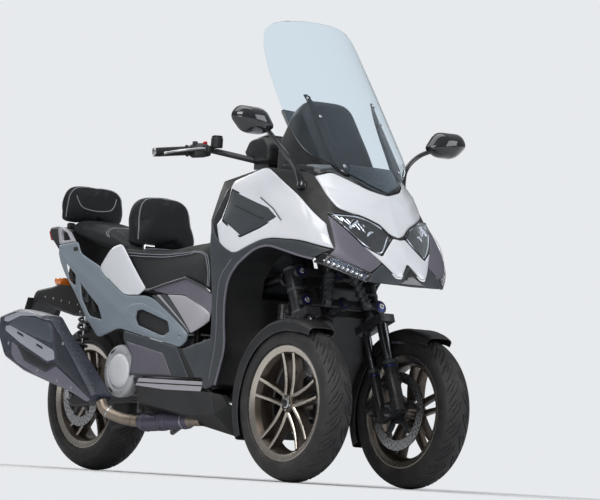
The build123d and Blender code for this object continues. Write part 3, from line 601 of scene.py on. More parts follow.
def glass(name, color, rough=0.02, ior=1.46, bumpScale=3.0, bumpDepth=0.2):
    # clear moulded plastic with a very slow wave in its surface
    mat = bpy.data.materials.new(name)
    mat.use_nodes = True
    tree = mat.node_tree
    shader = tree.nodes["Principled BSDF"]
    for key, value in {"Transmission Weight": 1.0, "IOR": ior, "Base Color": (*color, 1)}.items():
        shader.inputs[key].default_value = value
    noise = noiseAt(tree, objectPlace(tree), bumpScale)
    tree.links.new(ranged(tree, noise, 0.0, 1.0, rough, rough * 2.5), shader.inputs["Roughness"])
    relief = addNode(tree, "ShaderNodeBump", None, {"Height": noise, "Distance": bumpDepth * 0.001})
    tree.links.new(relief.outputs["Normal"], shader.inputs["Normal"])
    return mat


fineMould = ("grain", {"Scale": 900.0, "Cells": 0.5})
castSkin = ("grain", {"Scale": 420.0, "Cells": 0.25})
paintPeel = ("grain", {"Scale": 260.0, "Cells": 0.0})
# each edge=(colour, amount) below paints a highlight along the raised edges
mats = {
    "white": finish("pearlWhite", (0.76, 0.78, 0.83), 0.24, coat=1.0, coatRough=0.04, mottle=(0.02, 3.0),
                    dust=0.05, bump=paintPeel, bumpDepth=0.02),
    "grey": finish("satinGreyBlue", (0.225, 0.27, 0.315), 0.4, metallic=0.12, mottle=(0.05, 4.0),
                   edge=((0.5, 0.55, 0.62), 0.5), dust=0.10, bump=paintPeel, bumpDepth=0.03),
    "graphite": finish("graphitePurple", (0.135, 0.13, 0.165), 0.42, metallic=0.15, mottle=(0.07, 4.0),
                       edge=((0.3, 0.29, 0.34), 0.4), dust=0.12, bump=fineMould, bumpDepth=0.03),
    "graphiteDark": finish("graphiteDark", (0.045, 0.054, 0.064), 0.42, metallic=0.1, mottle=(0.07, 4.0),
                           edge=((0.26, 0.26, 0.3), 0.4), dust=0.08, bump=fineMould, bumpDepth=0.03),
    "paleGrey": finish("paleTrimGrey", (0.42, 0.41, 0.45), 0.4, metallic=0.2, mottle=(0.05, 5.0),
                       edge=((0.7, 0.7, 0.74), 0.4), dust=0.12, bump=fineMould, bumpDepth=0.03),
    "black": finish("grainedBlack", (0.011, 0.0115, 0.013), 0.5, mottle=(0.12, 6.0),
                    edge=((0.07, 0.07, 0.075), 0.35), dust=0.07, bump=fineMould, bumpDepth=0.08),
    "slate": finish("slatePlastic", (0.038, 0.045, 0.053), 0.45, mottle=(0.08, 6.0),
                    edge=((0.2, 0.22, 0.25), 0.4), dust=0.12, bump=fineMould, bumpDepth=0.06),
    "gloss": finish("pianoBlack", (0.012, 0.013, 0.016), 0.12, coat=0.6, mottle=(0.1, 5.0), dust=0.08,
                    bump=paintPeel, bumpDepth=0.02),
    "rubber": finish("tyreRubber", (0.016, 0.016, 0.018), 0.6, mottle=(0.18, 9.0),
                     edge=((0.055, 0.055, 0.06), 0.5), dust=0.2, bump=castSkin, bumpDepth=0.12),
    "softBlack": finish("softRubber", (0.010, 0.010, 0.011), 0.7, mottle=(0.12, 12.0), dust=0.05,
                        bump=("grain", {"Scale": 700.0, "Cells": 0.8}), bumpDepth=0.2),
    "bronze": finish("bronzeCast", (0.085, 0.068, 0.055), 0.33, metallic=0.8, mottle=(0.06, 7.0),
                     edge=((0.62, 0.55, 0.47), 0.45), dust=0.06, bump=castSkin, bumpDepth=0.03),
    "champagne": finish("machinedLip", (0.55, 0.50, 0.44), 0.26, metallic=0.95, mottle=(0.05, 9.0), dust=0.08,
                        bump=("brushed", {"Stretch": (900.0, 60.0, 60.0)}), bumpDepth=0.02),
    "alloy": finish("castAlloy", (0.46, 0.47, 0.49), 0.36, metallic=0.9, mottle=(0.07, 8.0), dust=0.15,
                    edge=((0.75, 0.76, 0.78), 0.4), bump=castSkin, bumpDepth=0.08),
    "silver": finish("silverCover", (0.50, 0.51, 0.54), 0.42, metallic=0.25, mottle=(0.03, 8.0),
                     dust=0.04, bump=fineMould, bumpDepth=0.03),
    "paleCover": finish("paleCover", (0.74, 0.75, 0.78), 0.42, metallic=0.05, mottle=(0.03, 8.0), dust=0.03,
                        bump=fineMould, bumpDepth=0.02),
    "steel": finish("brushedSteel", (0.52, 0.52, 0.53), 0.3, metallic=1.0, mottle=(0.08, 10.0), dust=0.12,
                    bump=("brushed", {"Stretch": (60.0, 900.0, 900.0)}), bumpDepth=0.03),
    "disc": finish("discSteel", (0.44, 0.44, 0.45), 0.28, metallic=1.0, mottle=(0.1, 22.0), dust=0.05,
                   bump=("brushed", {"Stretch": (900.0, 120.0, 120.0)}), bumpDepth=0.02),
    "chrome": finish("polishedSteel", (0.78, 0.78, 0.8), 0.1, metallic=1.0, mottle=(0.03, 12.0), dust=0.05,
                     bump=paintPeel, bumpDepth=0.01),
    "darkChrome": finish("darkChrome", (0.16, 0.16, 0.175), 0.2, metallic=1.0, mottle=(0.05, 12.0), dust=0.03,
                         bump=paintPeel, bumpDepth=0.01),
    "blackMetal": finish("blackPaintedMetal", (0.016, 0.017, 0.019), 0.33, metallic=0.2, mottle=(0.1, 8.0),
                         edge=((0.15, 0.15, 0.17), 0.4), dust=0.08, bump=castSkin, bumpDepth=0.04),
    "blued": finish("bluedCollector", (0.105, 0.10, 0.145), 0.4, metallic=0.7, mottle=(0.2, 9.0), dust=0.1,
                    edge=((0.3, 0.29, 0.36), 0.4), bump=castSkin, bumpDepth=0.04),
    "pipe": finish("heatedPipe", (0.30, 0.25, 0.205), 0.4, metallic=0.9, mottle=(0.2, 11.0), dust=0.2,
                   edge=((0.5, 0.46, 0.42), 0.4), bump=castSkin, bumpDepth=0.04),
    "lilac": finish("lilacCanister", (0.175, 0.17, 0.22), 0.42, metallic=0.2, mottle=(0.06, 5.0), dust=0.06,
                    edge=((0.42, 0.41, 0.48), 0.4), bump=fineMould, bumpDepth=0.02),
    "blueRing": finish("anodisedBlue", (0.03, 0.04, 0.16), 0.3, metallic=0.8, mottle=(0.08, 12.0), dust=0.05,
                       bump=paintPeel, bumpDepth=0.01),
    "red": finish("redSwitch", (0.62, 0.02, 0.03), 0.32, mottle=(0.05, 9.0), dust=0.03, bump=fineMould,
                  bumpDepth=0.03),
    "orange": finish("orangeLens", (0.8, 0.2, 0.02), 0.14, coat=1.0, mottle=(0.1, 60.0), dust=0.04,
                     bump=("grain", {"Scale": 260.0, "Cells": 1.0}), bumpDepth=0.5),
    "redLens": finish("redLens", (0.42, 0.01, 0.012), 0.12, coat=1.0, mottle=(0.15, 50.0), dust=0.04,
                      bump=("grain", {"Scale": 220.0, "Cells": 1.0}), bumpDepth=0.5),
    "leather": finish("seatLeather", (0.0065, 0.0078, 0.0095), 0.55, mottle=(0.12, 7.0), dust=0.03,
                      bump=("leather", {"Scale": 330.0}), bumpDepth=0.22,
                      socket={"Specular IOR Level": 0.28}),
    "leatherTop": finish("seatLeatherTop", (0.009, 0.0103, 0.0122), 0.6, mottle=(0.12, 7.0), dust=0.03,
                         bump=("leather", {"Scale": 260.0}), bumpDepth=0.3,
                         socket={"Specular IOR Level": 0.28}),
    "thread": finish("pipingGrey", (0.22, 0.24, 0.27), 0.55, mottle=(0.1, 40.0), dust=0.06,
                     bump=("grain", {"Scale": 800.0, "Cells": 0.9}), bumpDepth=0.15),
    "mirror": finish("mirrorFace", (0.86, 0.88, 0.9), 0.03, metallic=1.0, mottle=(0.01, 3.0), dust=0.02,
                     bump=paintPeel, bumpDepth=0.005),
    "reflector": finish("lampReflector", (0.8, 0.82, 0.85), 0.12, metallic=1.0, mottle=(0.08, 30.0), dust=0.0,
                        bump=("grain", {"Scale": 200.0, "Cells": 1.0}), bumpDepth=0.4),
    "lampDark": finish("lampHousing", (0.05, 0.065, 0.10), 0.25, metallic=0.6, mottle=(0.1, 30.0), dust=0.0,
                       bump=("grain", {"Scale": 120.0, "Cells": 1.0}), bumpDepth=0.4),
    "glowStrip": finish("lightGuide", (0.82, 0.86, 0.92), 0.2, mottle=(0.03, 20.0), dust=0.0, bump=paintPeel,
                        bumpDepth=0.02),
    "meterFace": finish("meterFace", (0.01, 0.014, 0.02), 0.07, coat=0.8, mottle=(0.2, 8.0), dust=0.03,
                        bump=paintPeel, bumpDepth=0.005),
    "slateMetal": finish("slateShield", (0.075, 0.09, 0.115), 0.42, metallic=0.2, mottle=(0.05, 5.0),
                         dust=0.05, edge=((0.3, 0.33, 0.38), 0.4), bump=fineMould, bumpDepth=0.02),
    "shieldPale": finish("paleShield", (0.40, 0.41, 0.47), 0.4, metallic=0.2, mottle=(0.05, 5.0), dust=0.05,
                         edge=((0.6, 0.62, 0.66), 0.4), bump=fineMould, bumpDepth=0.02),
    # dark navy for the silencer's body and outer shield; its base is set darker than the paint to stand for
    # the shade on the faces turned towards the camera, so it is partly painted shade
    "navy": finish("navyShield", (0.018, 0.022, 0.036), 0.42, metallic=0.1, mottle=(0.05, 5.0), dust=0.05,
                   edge=((0.12, 0.13, 0.18), 0.4), bump=fineMould, bumpDepth=0.02),
    "screen": glass("tintedScreen", (0.80, 0.90, 0.97), 0.01, 1.3, 1.5, 0.1),
    "lens": glass("clearLens", (0.93, 0.96, 1.0), 0.01, 1.4, 3.0, 0.1),
    "ribbedLens": glass("ribbedLens", (0.93, 0.94, 0.95), 0.05, 1.35, 160.0, 1.2),
}
print("finishes made:", len(mats))

# CAD nodes: a finish for each node, with welded and rounded edges on those that stay in sight

nodeFinish = {
    "rubber": ["tyre_front_right", "tyre_front_left", "tyre_rear"],
    "bronze": ["rim_front_right", "rim_front_left", "rim_rear"],
    "disc": ["disc_front_right", "disc_front_left", "disc_rear"],
    "blackMetal": ["fork_right", "fork_left", "side_tubes", "tilt_arms", "frame", "swingarm", "handlebar",
                   "centre_stand", "caliper_front_right", "caliper_front_left", "rear_caliper",
                   "rear_shocks"],
    "alloy": ["engine"],
    "silver": ["crank_cover"],
    "pipe": ["exhaust_pipe"],
    "white": ["nose_cowl", "nose_lip", "cheeks", "seat_sides"],
    "grey": ["side_panels"],
    "graphite": ["lower_panels", "inlay_panels", "chin"],
    "slate": ["arch_bands", "floor_panels", "grab_rails"],
    "lens": ["headlamps", "front_signals"],
    "screen": ["windscreen"],
    "redLens": ["rear_lamps"],
    "mirror": ["mirror_glass"],
    "leather": ["seat", "rider_backrest", "passenger_backrest"],
    "softBlack": ["grips"],
    "black": ["inner_fairing", "storage_bin", "belly_pan", "tail_panel", "dash", "mirrors", "bar_controls",
              "fender_right", "fender_left", "muffler"],
}


def makeSmoothByAngle():
    # smooth shading with sharp edges where two faces meet at more than the angle
    tree = bpy.data.node_groups.new("smoothByAngle", "GeometryNodeTree")
    tree.interface.new_socket("Geometry", in_out="INPUT", socket_type="NodeSocketGeometry")
    tree.interface.new_socket("Geometry", in_out="OUTPUT", socket_type="NodeSocketGeometry")
    given, out = addNode(tree, "NodeGroupInput"), addNode(tree, "NodeGroupOutput")
    angle = addNode(tree, "GeometryNodeInputMeshEdgeAngle")
    sharp = addNode(tree, "FunctionNodeCompare", {"data_type": "FLOAT", "operation": "LESS_EQUAL"},
                    {0: angle.outputs["Unsigned Angle"], 1: math.radians(32)})
    faces = addNode(tree, "GeometryNodeSetShadeSmooth", {"domain": "FACE"}, {"Geometry": given.outputs[0],
                                                                             "Shade Smooth": True})
    edges = addNode(tree, "GeometryNodeSetShadeSmooth", {"domain": "EDGE"},
                    {"Geometry": faces.outputs[0], "Shade Smooth": sharp.outputs[0]})
    tree.links.new(edges.outputs[0], out.inputs[0])
    return tree


smoothByAngle = makeSmoothByAngle()


def dressNode(name, finishName):
    # a CAD node's finish, with its triangles welded, its sharp edges rounded and the rest shaded smooth
    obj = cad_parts[name]
    obj.data.materials.clear()
    obj.data.materials.append(mats[finishName])
    weld = obj.modifiers.new("weld", "WELD")
    weld.merge_threshold = 0.00005
    edges = obj.modifiers.new("edges", "BEVEL")
    edges.width, edges.segments, edges.limit_method = 0.0012, 2, "ANGLE"
    edges.angle_limit = math.radians(40)
    shading = obj.modifiers.new("shading", "NODES")
    shading.node_group = smoothByAngle


for finishName, nodeNames in nodeFinish.items():
    for nodeName in nodeNames:
        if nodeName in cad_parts:
            dressNode(nodeName, finishName)
plain = [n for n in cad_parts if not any(n in v for v in nodeFinish.values())]
print("nodes dressed; without a finish:", plain)


# Tyres

tyreSettings = {"sectorCount": 22, "grooveDepth": 4.5, "grooveWidth": 4.6, "stepsRound": 704,
                "stepsTread": 64, "stepsSide": 16}
# grooves in one sector: (across in shares of the half width, along in shares of the sector, width share)
grooveLines = [
    [(0.10, 0.00, 1.0), (0.16, 0.30, 1.1), (0.42, 0.62, 1.1), (0.78, 0.98, 0.8)],
    [(0.30, 0.06, 0.9), (0.46, 0.34, 1.0), (0.60, 0.45, 0.8)],
    [(0.62, 0.20, 0.8), (0.92, 0.52, 0.7)],
    [(0.36, 0.92, 0.8), (0.52, 1.12, 0.9), (0.66, 1.20, 0.7)],
]


def grooveField(across, along, halfWidth, pitch, width):
    # nearness to the groove lines: 1 in the middle of a groove and 0 outside it, for both halves,
    # the far half moved on by half a sector
    depth = np.zeros_like(across)
    share = np.where(across < 0, 0.5, 0.0)
    a = np.abs(across)
    l = (along / pitch + share) % 1.0
    for line in grooveLines:
        for (a0, l0, w0), (a1, l1, w1) in zip(line[:-1], line[1:]):
            start = np.array([a0 * halfWidth, l0 * pitch])
            run = np.array([a1 * halfWidth, l1 * pitch]) - start
            for lap in (-1, 0, 1):
                dx, dy = a - start[0], (l + lap) * pitch - start[1]
                t = np.clip((dx * run[0] + dy * run[1]) / (run @ run), 0, 1)
                far = np.hypot(dx - t * run[0], dy - t * run[1])
                reach = width * (w0 + (w1 - w0) * t) / 2
                depth = np.maximum(depth, np.clip((reach - far) / 1.2 + 0.5, 0, 1))
    return depth


def tyreShape(radius, width, rimWidth, flangeRadius, seatRadius):
    # round the wheel by one angle, across the tyre by one station: a round crown, two bulged
    # sidewalls with a fine bead line, and the foot inside the rim; grooves press the crown inwards
    s = tyreSettings
    half = width / 2
    shoulder = np.array([half * 0.9, radius - width * 0.2])
    crownR = (shoulder[0] ** 2 + (radius - shoulder[1]) ** 2) / (2 * (radius - shoulder[1]))
    reach = math.asin(shoulder[0] / crownR)
    turn = np.linspace(-reach, reach, s["stepsTread"])
    crown = np.stack([crownR * np.sin(turn), radius - crownR + crownR * np.cos(turn)], 1)
    foot = np.array([rimWidth / 2 + 4, flangeRadius + 1])
    sideLine = smoothLine([shoulder, (half * 0.985, radius - width * 0.32),
                           (half, (foot[1] + shoulder[1]) / 2), (half * 0.97, foot[1] + 9), foot],
                          s["stepsSide"])
    rib = np.interp(np.arange(s["stepsSide"]), [0, s["stepsSide"] - 3, s["stepsSide"] - 2,
                                                s["stepsSide"] - 1],
                    [0, 0, 1.2, 0])
    sideLine[:, 0] += rib
    inner = np.array([(rimWidth / 2 - 8, flangeRadius + 1), (rimWidth / 2 - 8, seatRadius + 1)])
    right = np.concatenate([sideLine[1:], inner])
    profile = np.concatenate([crown, right, (right * (-1, 1))[::-1]])
    arc = np.concatenate([turn * crownR, np.full(len(profile) - len(turn), 1e4)])
    angle = np.linspace(0, 2 * np.pi, s["stepsRound"], endpoint=False)[:, None]
    pitch = 2 * np.pi * radius / s["sectorCount"]
    groove = grooveField(np.broadcast_to(arc, (len(angle), len(arc))),
                         np.broadcast_to(angle * radius, (len(angle), len(arc))),
                         half * 1.02, pitch, s["grooveWidth"])
    groove *= np.clip((half - np.abs(arc)) / 6, 0, 1) * (np.abs(arc) < half * 1.1)
    r = profile[:, 1] - groove * s["grooveDepth"]
    points = np.stack([np.broadcast_to(profile[:, 0], r.shape), r * np.cos(angle), r * np.sin(angle)], -1)
    quads = gridQuads(points.shape[0], points.shape[1], True, True)
    return outward(shapeOf(points, quads))


# flange, bead seat and barrel are radii. Foot is where a spoke starts. Each pair of numbers gives the
# size at the hub and how much it grows or shrinks on the way to the rim
rimSettings = {"flange": 205, "seat": 190.5, "barrel": 167, "spokes": 5, "foot": 24, "bolts": 24.0,
               "apart": (17, 13), "front": (-37, 11), "bow": 9, "wide": (7.0, 1.5), "deep": (46, 8)}
# a spoke's section: (share of its half width, share of its depth), its two front edges bevelled
spokeSection = [(0.55, 0.0), (1.0, 0.09), (1.15, 0.9), (0.8, 1.0), (-0.8, 1.0), (-1.15, 0.9), (-1.0, 0.09),
                (-0.55, 0.0)]


def wheelPieces(hub, radius, sizes, body, suffix, outerSide):
    # one wheel: tread tyre, cast rim with machined lips and twin spokes, and drilled disc; a spoke is
    # its section carried from hub to rim, where it grows thinner and farther from its twin
    g = rimSettings
    width, rimWidth, discR, discX, hubReach = sizes
    flange, seat, barrel = g["flange"], g["seat"], g["barrel"]
    tyre = tyreShape(radius, width, rimWidth, flange, seat)
    piece("treadTyre" + suffix, moved(tyre, hub), body, "rubber", ["tyre" + suffix], sharp=50)
    half = rimWidth / 2
    rimProfile = roundedLine([(-half, flange - 9), (-half - 1, flange - 2), (-half + 3, flange + 1),
                              (-half + 7, flange - 3), (-half + 8, seat + 1), (half - 8, seat + 1),
                              (half - 7, flange - 3), (half - 3, flange + 1), (half + 1, flange - 2),
                              (half, flange - 9), (half - 7, seat - 12), (half - 26, barrel),
                              (half - 40, barrel - 3), (-half + 40, barrel - 3), (-half + 26, barrel),
                              (-half + 7, seat - 12), (-half, flange - 9)], 3, 4)[:-1]
    rim = spun(rimProfile, steps=120)
    along = rim["v"][rim["q"]].mean(1)
    lip = (np.hypot(along[:, 1], along[:, 2]) > seat - 11) & (np.abs(along[:, 0]) > half - 9)
    rim["qm"][lip] = 1
    parts = [rim]
    # twin spokes: the section's faces ahead of the line just behind its front are the machined ones
    for k in range(g["spokes"]):
        for side in (-1, 1):
            t = np.linspace(0, 1, 9)
            r = g["foot"] + (seat - 16 - g["foot"]) * t
            centre = side * (g["apart"][0] + g["apart"][1] * t ** 1.2)
            front = g["front"][0] - g["front"][1] * t + g["bow"] * np.sin(np.pi * t)
            wide = g["wide"][0] - g["wide"][1] * t
            deep = g["deep"][0] - g["deep"][1] * t
            rows = np.stack([np.stack([front + deep * d, centre + wide * w, r], -1) for w, d in spokeSection],
                            1)
            arm = loops(rows)
            quadCentre = arm["v"][arm["q"]].mean(1)
            arm["qm"] = np.where(quadCentre[:, 0] < np.interp(quadCentre[:, 2], r, front + deep * 0.08), 1, 0)
            parts.append(moved(arm, turn=turnX(2 * np.pi / g["spokes"] * k)))
    hubProfile = [(-30, 13), (-34, 15), (-40, 18), (-42, 26), (-38, 31), (-30, 34), (hubReach - 10, 34),
                  (hubReach, 28), (hubReach, 13)]
    if discX < 0:
        hubProfile = [(-hubReach, 13), (-hubReach, 30), (-hubReach + 12, 36), (60, 36), (68, 30), (72, 18),
                      (72, 13)]
    parts += [spun(hubProfile, steps=48),
              spun([(-36, 19), (-43, 18), (-46, 13), (-46, 7), (-43, 5), (-43, 0.5)], steps=30, mat=2,
                   closed=False)]
    for k in range(g["spokes"]):
        at = turnX(2 * np.pi / g["spokes"] * (k + 0.5)) @ np.array([-40, 0, g["bolts"]])
        parts.append(boltHead(at, (-1, 0, 0), 4.2, 4.5, mat=2))
    rimShape = joined(parts)
    if outerSide > 0:
        rimShape = mirrored(rimShape)
    piece("castRim" + suffix, moved(rimShape, hub), body, ["bronze", "champagne", "steel"],
          ["rim" + suffix], sharp=30, bevel=0.8)
    disc = drilledDisc(discR, abs(discX))
    if (discX < 0) != (outerSide > 0):
        disc = mirrored(disc)
    piece("drilledDisc" + suffix, moved(disc, hub), body, ["disc", "blackMetal", "steel"],
          ["disc" + suffix], sharp=30)


discSettings = {"track": 36, "halfThick": 2.5, "holeRadius": 3.2, "holes": 30, "rows": 3, "arms": 5}
# the disc carrier arm's section: (x, share of its half width)
carrierSection = [(3.5, -0.8), (3.5, 0.8), (2.5, 1), (-2.5, 1), (-3.5, 0.8), (-3.5, -0.8), (-2.5, -1),
                  (2.5, -1)]


def drilledDisc(radius, x):
    # brake track as cells round the axle, each with a round hole: point (s, t) goes s round the
    # hole and t from its edge out to the cell's border; carrier arms hold it to the hub
    g = discSettings
    holes, rows, thick = g["holes"], g["rows"], g["halfThick"]
    inner = radius - g["track"]
    cellR = (radius - inner) / rows
    cellA = 2 * np.pi / holes
    turn = np.linspace(0, 2 * np.pi, 16, endpoint=False) + np.pi / 16
    square = np.stack([np.cos(turn), np.sin(turn)], 1)
    square = square / np.abs(square).max(1, keepdims=True)
    parts = []
    for row in range(rows):
        t = np.linspace(0, 1, 3)[None, :, None]
        midR = inner + cellR * (row + 0.5)
        hole = g["holeRadius"] * np.stack([np.cos(turn), np.sin(turn)], 1)[:, None]
        border = square[:, None] * (cellR / 2, cellA / 2)
        ringR = midR + hole[..., 0] * (1 - t[..., 0]) + border[..., 0] * t[..., 0]
        ringA = hole[..., 1] / midR * (1 - t[..., 0]) + border[..., 1] * t[..., 0]
        for k in range(holes):
            a = ringA + cellA * (k + 0.5 * (row % 2))
            face = np.stack([np.zeros_like(ringR), ringR * np.cos(a), ringR * np.sin(a)], -1)
            section = np.concatenate([face + (thick, 0, 0), face[:, ::-1] - (thick, 0, 0)], 1)
            quads = gridQuads(len(turn), section.shape[1], True, True)
            parts.append(outward(shapeOf(section, quads)))
    carrier = []
    for k in range(g["arms"]):
        a = 2 * np.pi / g["arms"] * k
        r = np.linspace(40, inner + 3, 7)
        half = 15 - 7 * np.linspace(0, 1, 7)
        swing = 8 * np.sin(np.pi * np.linspace(0, 1, 7))
        armRows = [np.stack([np.full(7, x2), half * w + swing, r], -1) for x2, w in carrierSection]
        carrier.append(moved(loops(np.stack(armRows, 1), 1), turn=turnX(a)))
        at = turnX(a) @ np.array([4.0, 3, inner - 2])
        carrier.append(boltHead(at, (1, 0, 0), 6.5, 2.5, mat=2))
        carrier.append(boltHead(at * (-1, 1, 1), (-1, 0, 0), 6.5, 2.5, mat=2))
    carrier.append(spun([(-3.5, 22), (-3.5, 45), (3.5, 45), (3.5, 22)], steps=48, mat=1))
    return moved(joined(parts + carrier), (x, 0, 0))


# tyre width, rim width, disc radius, disc place along the axle, hub reach
wheelSizes = {"front": (120, 100, 140, 66, 64), "rear": (160, 134, 120, -84, 80)}
for sideName, side in sides:
    wheelPieces(frontHubAt(side), frontRadius, wheelSizes["front"], "wheel_front_" + sideName,
                "_front_" + sideName, side)
wheelPieces(rearHub, rearRadius, wheelSizes["rear"], "wheel_rear", "_rear", -1)
print("wheels made")


# Panels: outlines laid on a skin, with rolled edges, seams and holes

def closedRound(outline, corner=8.0, step=7.0):
    # closed outline of (a, b) or (a, b, radius) points: each corner is a quadratic curve between
    # points at the radius's distance along its two sides, and long sides are divided by the step
    p = np.array([q[:2] for q in outline], float)
    want = np.array([q[2] if len(q) > 2 else corner for q in outline], float)
    before, after = np.roll(p, 1, 0) - p, np.roll(p, -1, 0) - p
    la, lb = np.linalg.norm(before, axis=1), np.linalg.norm(after, axis=1)
    reach = np.minimum(want, 0.47 * np.minimum(la, lb))[:, None]
    start, end = p + before / la[:, None] * reach, p + after / lb[:, None] * reach
    t = np.linspace(0, 1, 9)[None, :, None]
    curve = (1 - t) ** 2 * start[:, None] + 2 * t * (1 - t) * p[:, None] + t ** 2 * end[:, None]
    line = curve.reshape(-1, 2)
    ahead = np.roll(line, -1, 0)
    length = np.linalg.norm(ahead - line, axis=1)
    line, ahead, length = line[length > 0.05], ahead[length > 0.05], length[length > 0.05]
    parts = np.maximum(1, np.ceil(length / step)).astype(int)
    index = np.repeat(np.arange(len(line)), parts)
    share = (np.arange(parts.sum()) - np.repeat(np.cumsum(parts) - parts, parts)) / parts[index]
    return line[index] + (ahead - line)[index] * share[:, None]


def windingArea(p):
    # area that the loop closes, positive where it runs anticlockwise
    q = np.roll(p, -1, 0)
    return 0.5 * np.sum(p[:, 0] * q[:, 1] - q[:, 0] * p[:, 1])


def insetLoop(p, distance):
    # each point moved square to the line through its neighbours, into the area that the loop closes
    along = np.roll(p, -1, 0) - np.roll(p, 1, 0)
    along /= np.maximum(np.linalg.norm(along, axis=1, keepdims=True), 1e-9)
    inwards = np.stack([-along[:, 1], along[:, 0]], 1) * np.sign(windingArea(p))
    return p + inwards * distance


def insideLoop(points, loop):
    # whether a level line from each point crosses the loop an odd number of times
    x, y = points[:, 0][:, None], points[:, 1][:, None]
    a, b = loop[None], np.roll(loop, -1, 0)[None]
    spans = (a[..., 1] > y) != (b[..., 1] > y)
    slope = (b[..., 0] - a[..., 0]) / np.where(spans, b[..., 1] - a[..., 1], 1.0)
    return np.sum(spans & (x < a[..., 0] + (y - a[..., 1]) * slope), 1) % 2 == 1


def farFrom(points, loop):
    # distance from each point to the nearest side of the loop
    a, run = loop[None], (np.roll(loop, -1, 0) - loop)[None]
    rel = points[:, None] - a
    t = np.clip(np.sum(rel * run, -1) / np.maximum(np.sum(run * run, -1), 1e-9), 0, 1)
    return np.sqrt(np.min(np.sum((rel - run * t[..., None]) ** 2, -1), 1))


def cutPanel(place, outline, holes=(), thick=4.0, lift=0.0, roll=2.5, corner=8.0, step=13.0, crown=0.0,
             gap=0.6, mat=0, inner=(0.0, 300.0, 700.0), crease=None):
    # a moulded panel. Its points are a grid inside the outline and lines along the outline; place
    # turns (a, b) into (x, y, z) on the skin, whose normals face away from the inner point. Each point
    # moves along its normal by the lift, the crease and a crown that grows inwards from the edge, less
    # a quarter round of the roll's radius at the edges. The back is the thickness behind
    loops2d = [insetLoop(closedRound(outline, corner), gap)]
    loops2d += [insetLoop(closedRound(h, corner * 0.7), -gap) for h in holes]
    rings = []
    for k, loop in enumerate(loops2d):
        way = 1 if k == 0 else -1
        rings += [insetLoop(loop, way * share * roll) for share in (0.12, 0.45, 1.0)]
    low, high = loops2d[0].min(0), loops2d[0].max(0)
    grid = np.stack(np.meshgrid(np.arange(low[0], high[0], step), np.arange(low[1], high[1], step),
                                indexing="ij"), -1).reshape(-1, 2)
    keep = insideLoop(grid, loops2d[0])
    for h in loops2d[1:]:
        keep &= ~insideLoop(grid, h)
    grid = grid[keep]
    clear = np.min([farFrom(grid, loop) for loop in loops2d], 0) if len(grid) else np.zeros(0)
    grid = grid[clear > roll + step * 0.35]
    flat = np.concatenate(loops2d + rings + [grid])
    edges, start = [], 0
    for loop in loops2d:
        i = np.arange(len(loop)) + start
        edges += np.stack([i, np.roll(i, -1)], 1).tolist()
        start += len(loop)
    verts, _, faces, *_ = delaunay_2d_cdt([Vector(p) for p in flat.tolist()], edges, [], 0, 1e-4, False)
    flat, tris = np.array([v[:] for v in verts]), np.array(faces)
    middle = flat[tris].mean(1)
    keep = insideLoop(middle, loops2d[0])
    for h in loops2d[1:]:
        keep &= ~insideLoop(middle, h)
    tris = tris[keep]
    used, tris = np.unique(tris, return_inverse=True)
    tris, flat = tris.reshape(-1, 3), flat[used]
    point = place(flat)
    da = place(flat + (1.0, 0)) - place(flat - (1.0, 0))
    db = place(flat + (0, 1.0)) - place(flat - (0, 1.0))
    normal = np.cross(da, db)
    normal /= np.maximum(np.linalg.norm(normal, axis=1, keepdims=True), 1e-9)
    if np.sum(normal * (point - np.array(inner))) < 0:
        normal = -normal
    far = np.min([farFrom(flat, loop) for loop in loops2d], 0)
    fall = roll * (1 - np.sqrt(np.maximum(1 - (1 - np.clip(far / max(roll, 1e-6), 0, 1)) ** 2, 0)))
    rise = lift - fall + crown * (1 - np.exp(-far / 28.0))
    if crease is not None:
        rise = rise + crease(flat)
    front = point + normal * rise[:, None]
    back = point + normal * (lift - thick)
    count = len(front)
    sides = np.concatenate([tris[:, [0, 1]], tris[:, [1, 2]], tris[:, [2, 0]]])
    key = np.sort(sides, 1)
    _, first, times = np.unique(key[:, 0] * count + key[:, 1], return_index=True, return_counts=True)
    rim = sides[first[times == 1]]
    quads = np.stack([rim[:, 1], rim[:, 0], rim[:, 0] + count, rim[:, 1] + count], 1)
    return outward(shapeOf(np.concatenate([front, back]), quads,
                           np.concatenate([tris, tris[:, ::-1] + count]), mat))


def lookUp(table, rowAxis, colAxis, row, col):
    # value between the four nearest entries of a table, by their shares
    r = np.clip((row - rowAxis[0]) / (rowAxis[1] - rowAxis[0]), 0, len(rowAxis) - 1.001)
    c = np.clip((col - colAxis[0]) / (colAxis[1] - colAxis[0]), 0, len(colAxis) - 1.001)
    i, j = r.astype(int), c.astype(int)
    r, c = r - i, c - j
    return ((1 - r) * (1 - c) * table[i, j] + r * (1 - c) * table[i + 1, j]
            + (1 - r) * c * table[i, j + 1] + r * c * table[i + 1, j + 1])


# Fairing: half width and place along the vehicle on each level's plan line, from the nose tip
# round to the leg shield

fairing = {
    "levels": [300, 690, 760, 820, 940, 1030, 1130],
    "lines": [[(0, -290), (60, -288), (150, -264), (280, -100), (322, 150), (331, 380), (332, 520)],
              [(0, -290), (60, -288), (150, -264), (280, -100), (322, 150), (337, 380), (338, 520)],
              [(0, -262), (80, -256), (190, -215), (290, -90), (324, 150), (337, 380), (338, 520)],
              [(0, -226), (110, -208), (235, -155), (293, -70), (322, 170), (334, 380), (334, 520)],
              [(0, -160), (110, -143), (215, -80), (262, 0), (292, 200), (303, 380), (304, 520)],
              [(0, -110), (95, -95), (195, -25), (235, 60), (264, 250), (273, 380), (275, 520)],
              [(0, -40), (90, -25), (180, 60), (205, 130), (228, 300), (233, 380), (235, 520)]],
    "smooth": 0.7, "steps": 241,
}
# the steps of the fairing's two tables: up, along and across
zAxis, yAxis, xAxis = np.arange(300.0, 1136, 5), np.arange(-290.0, 521, 5), np.arange(0.0, 341, 4)


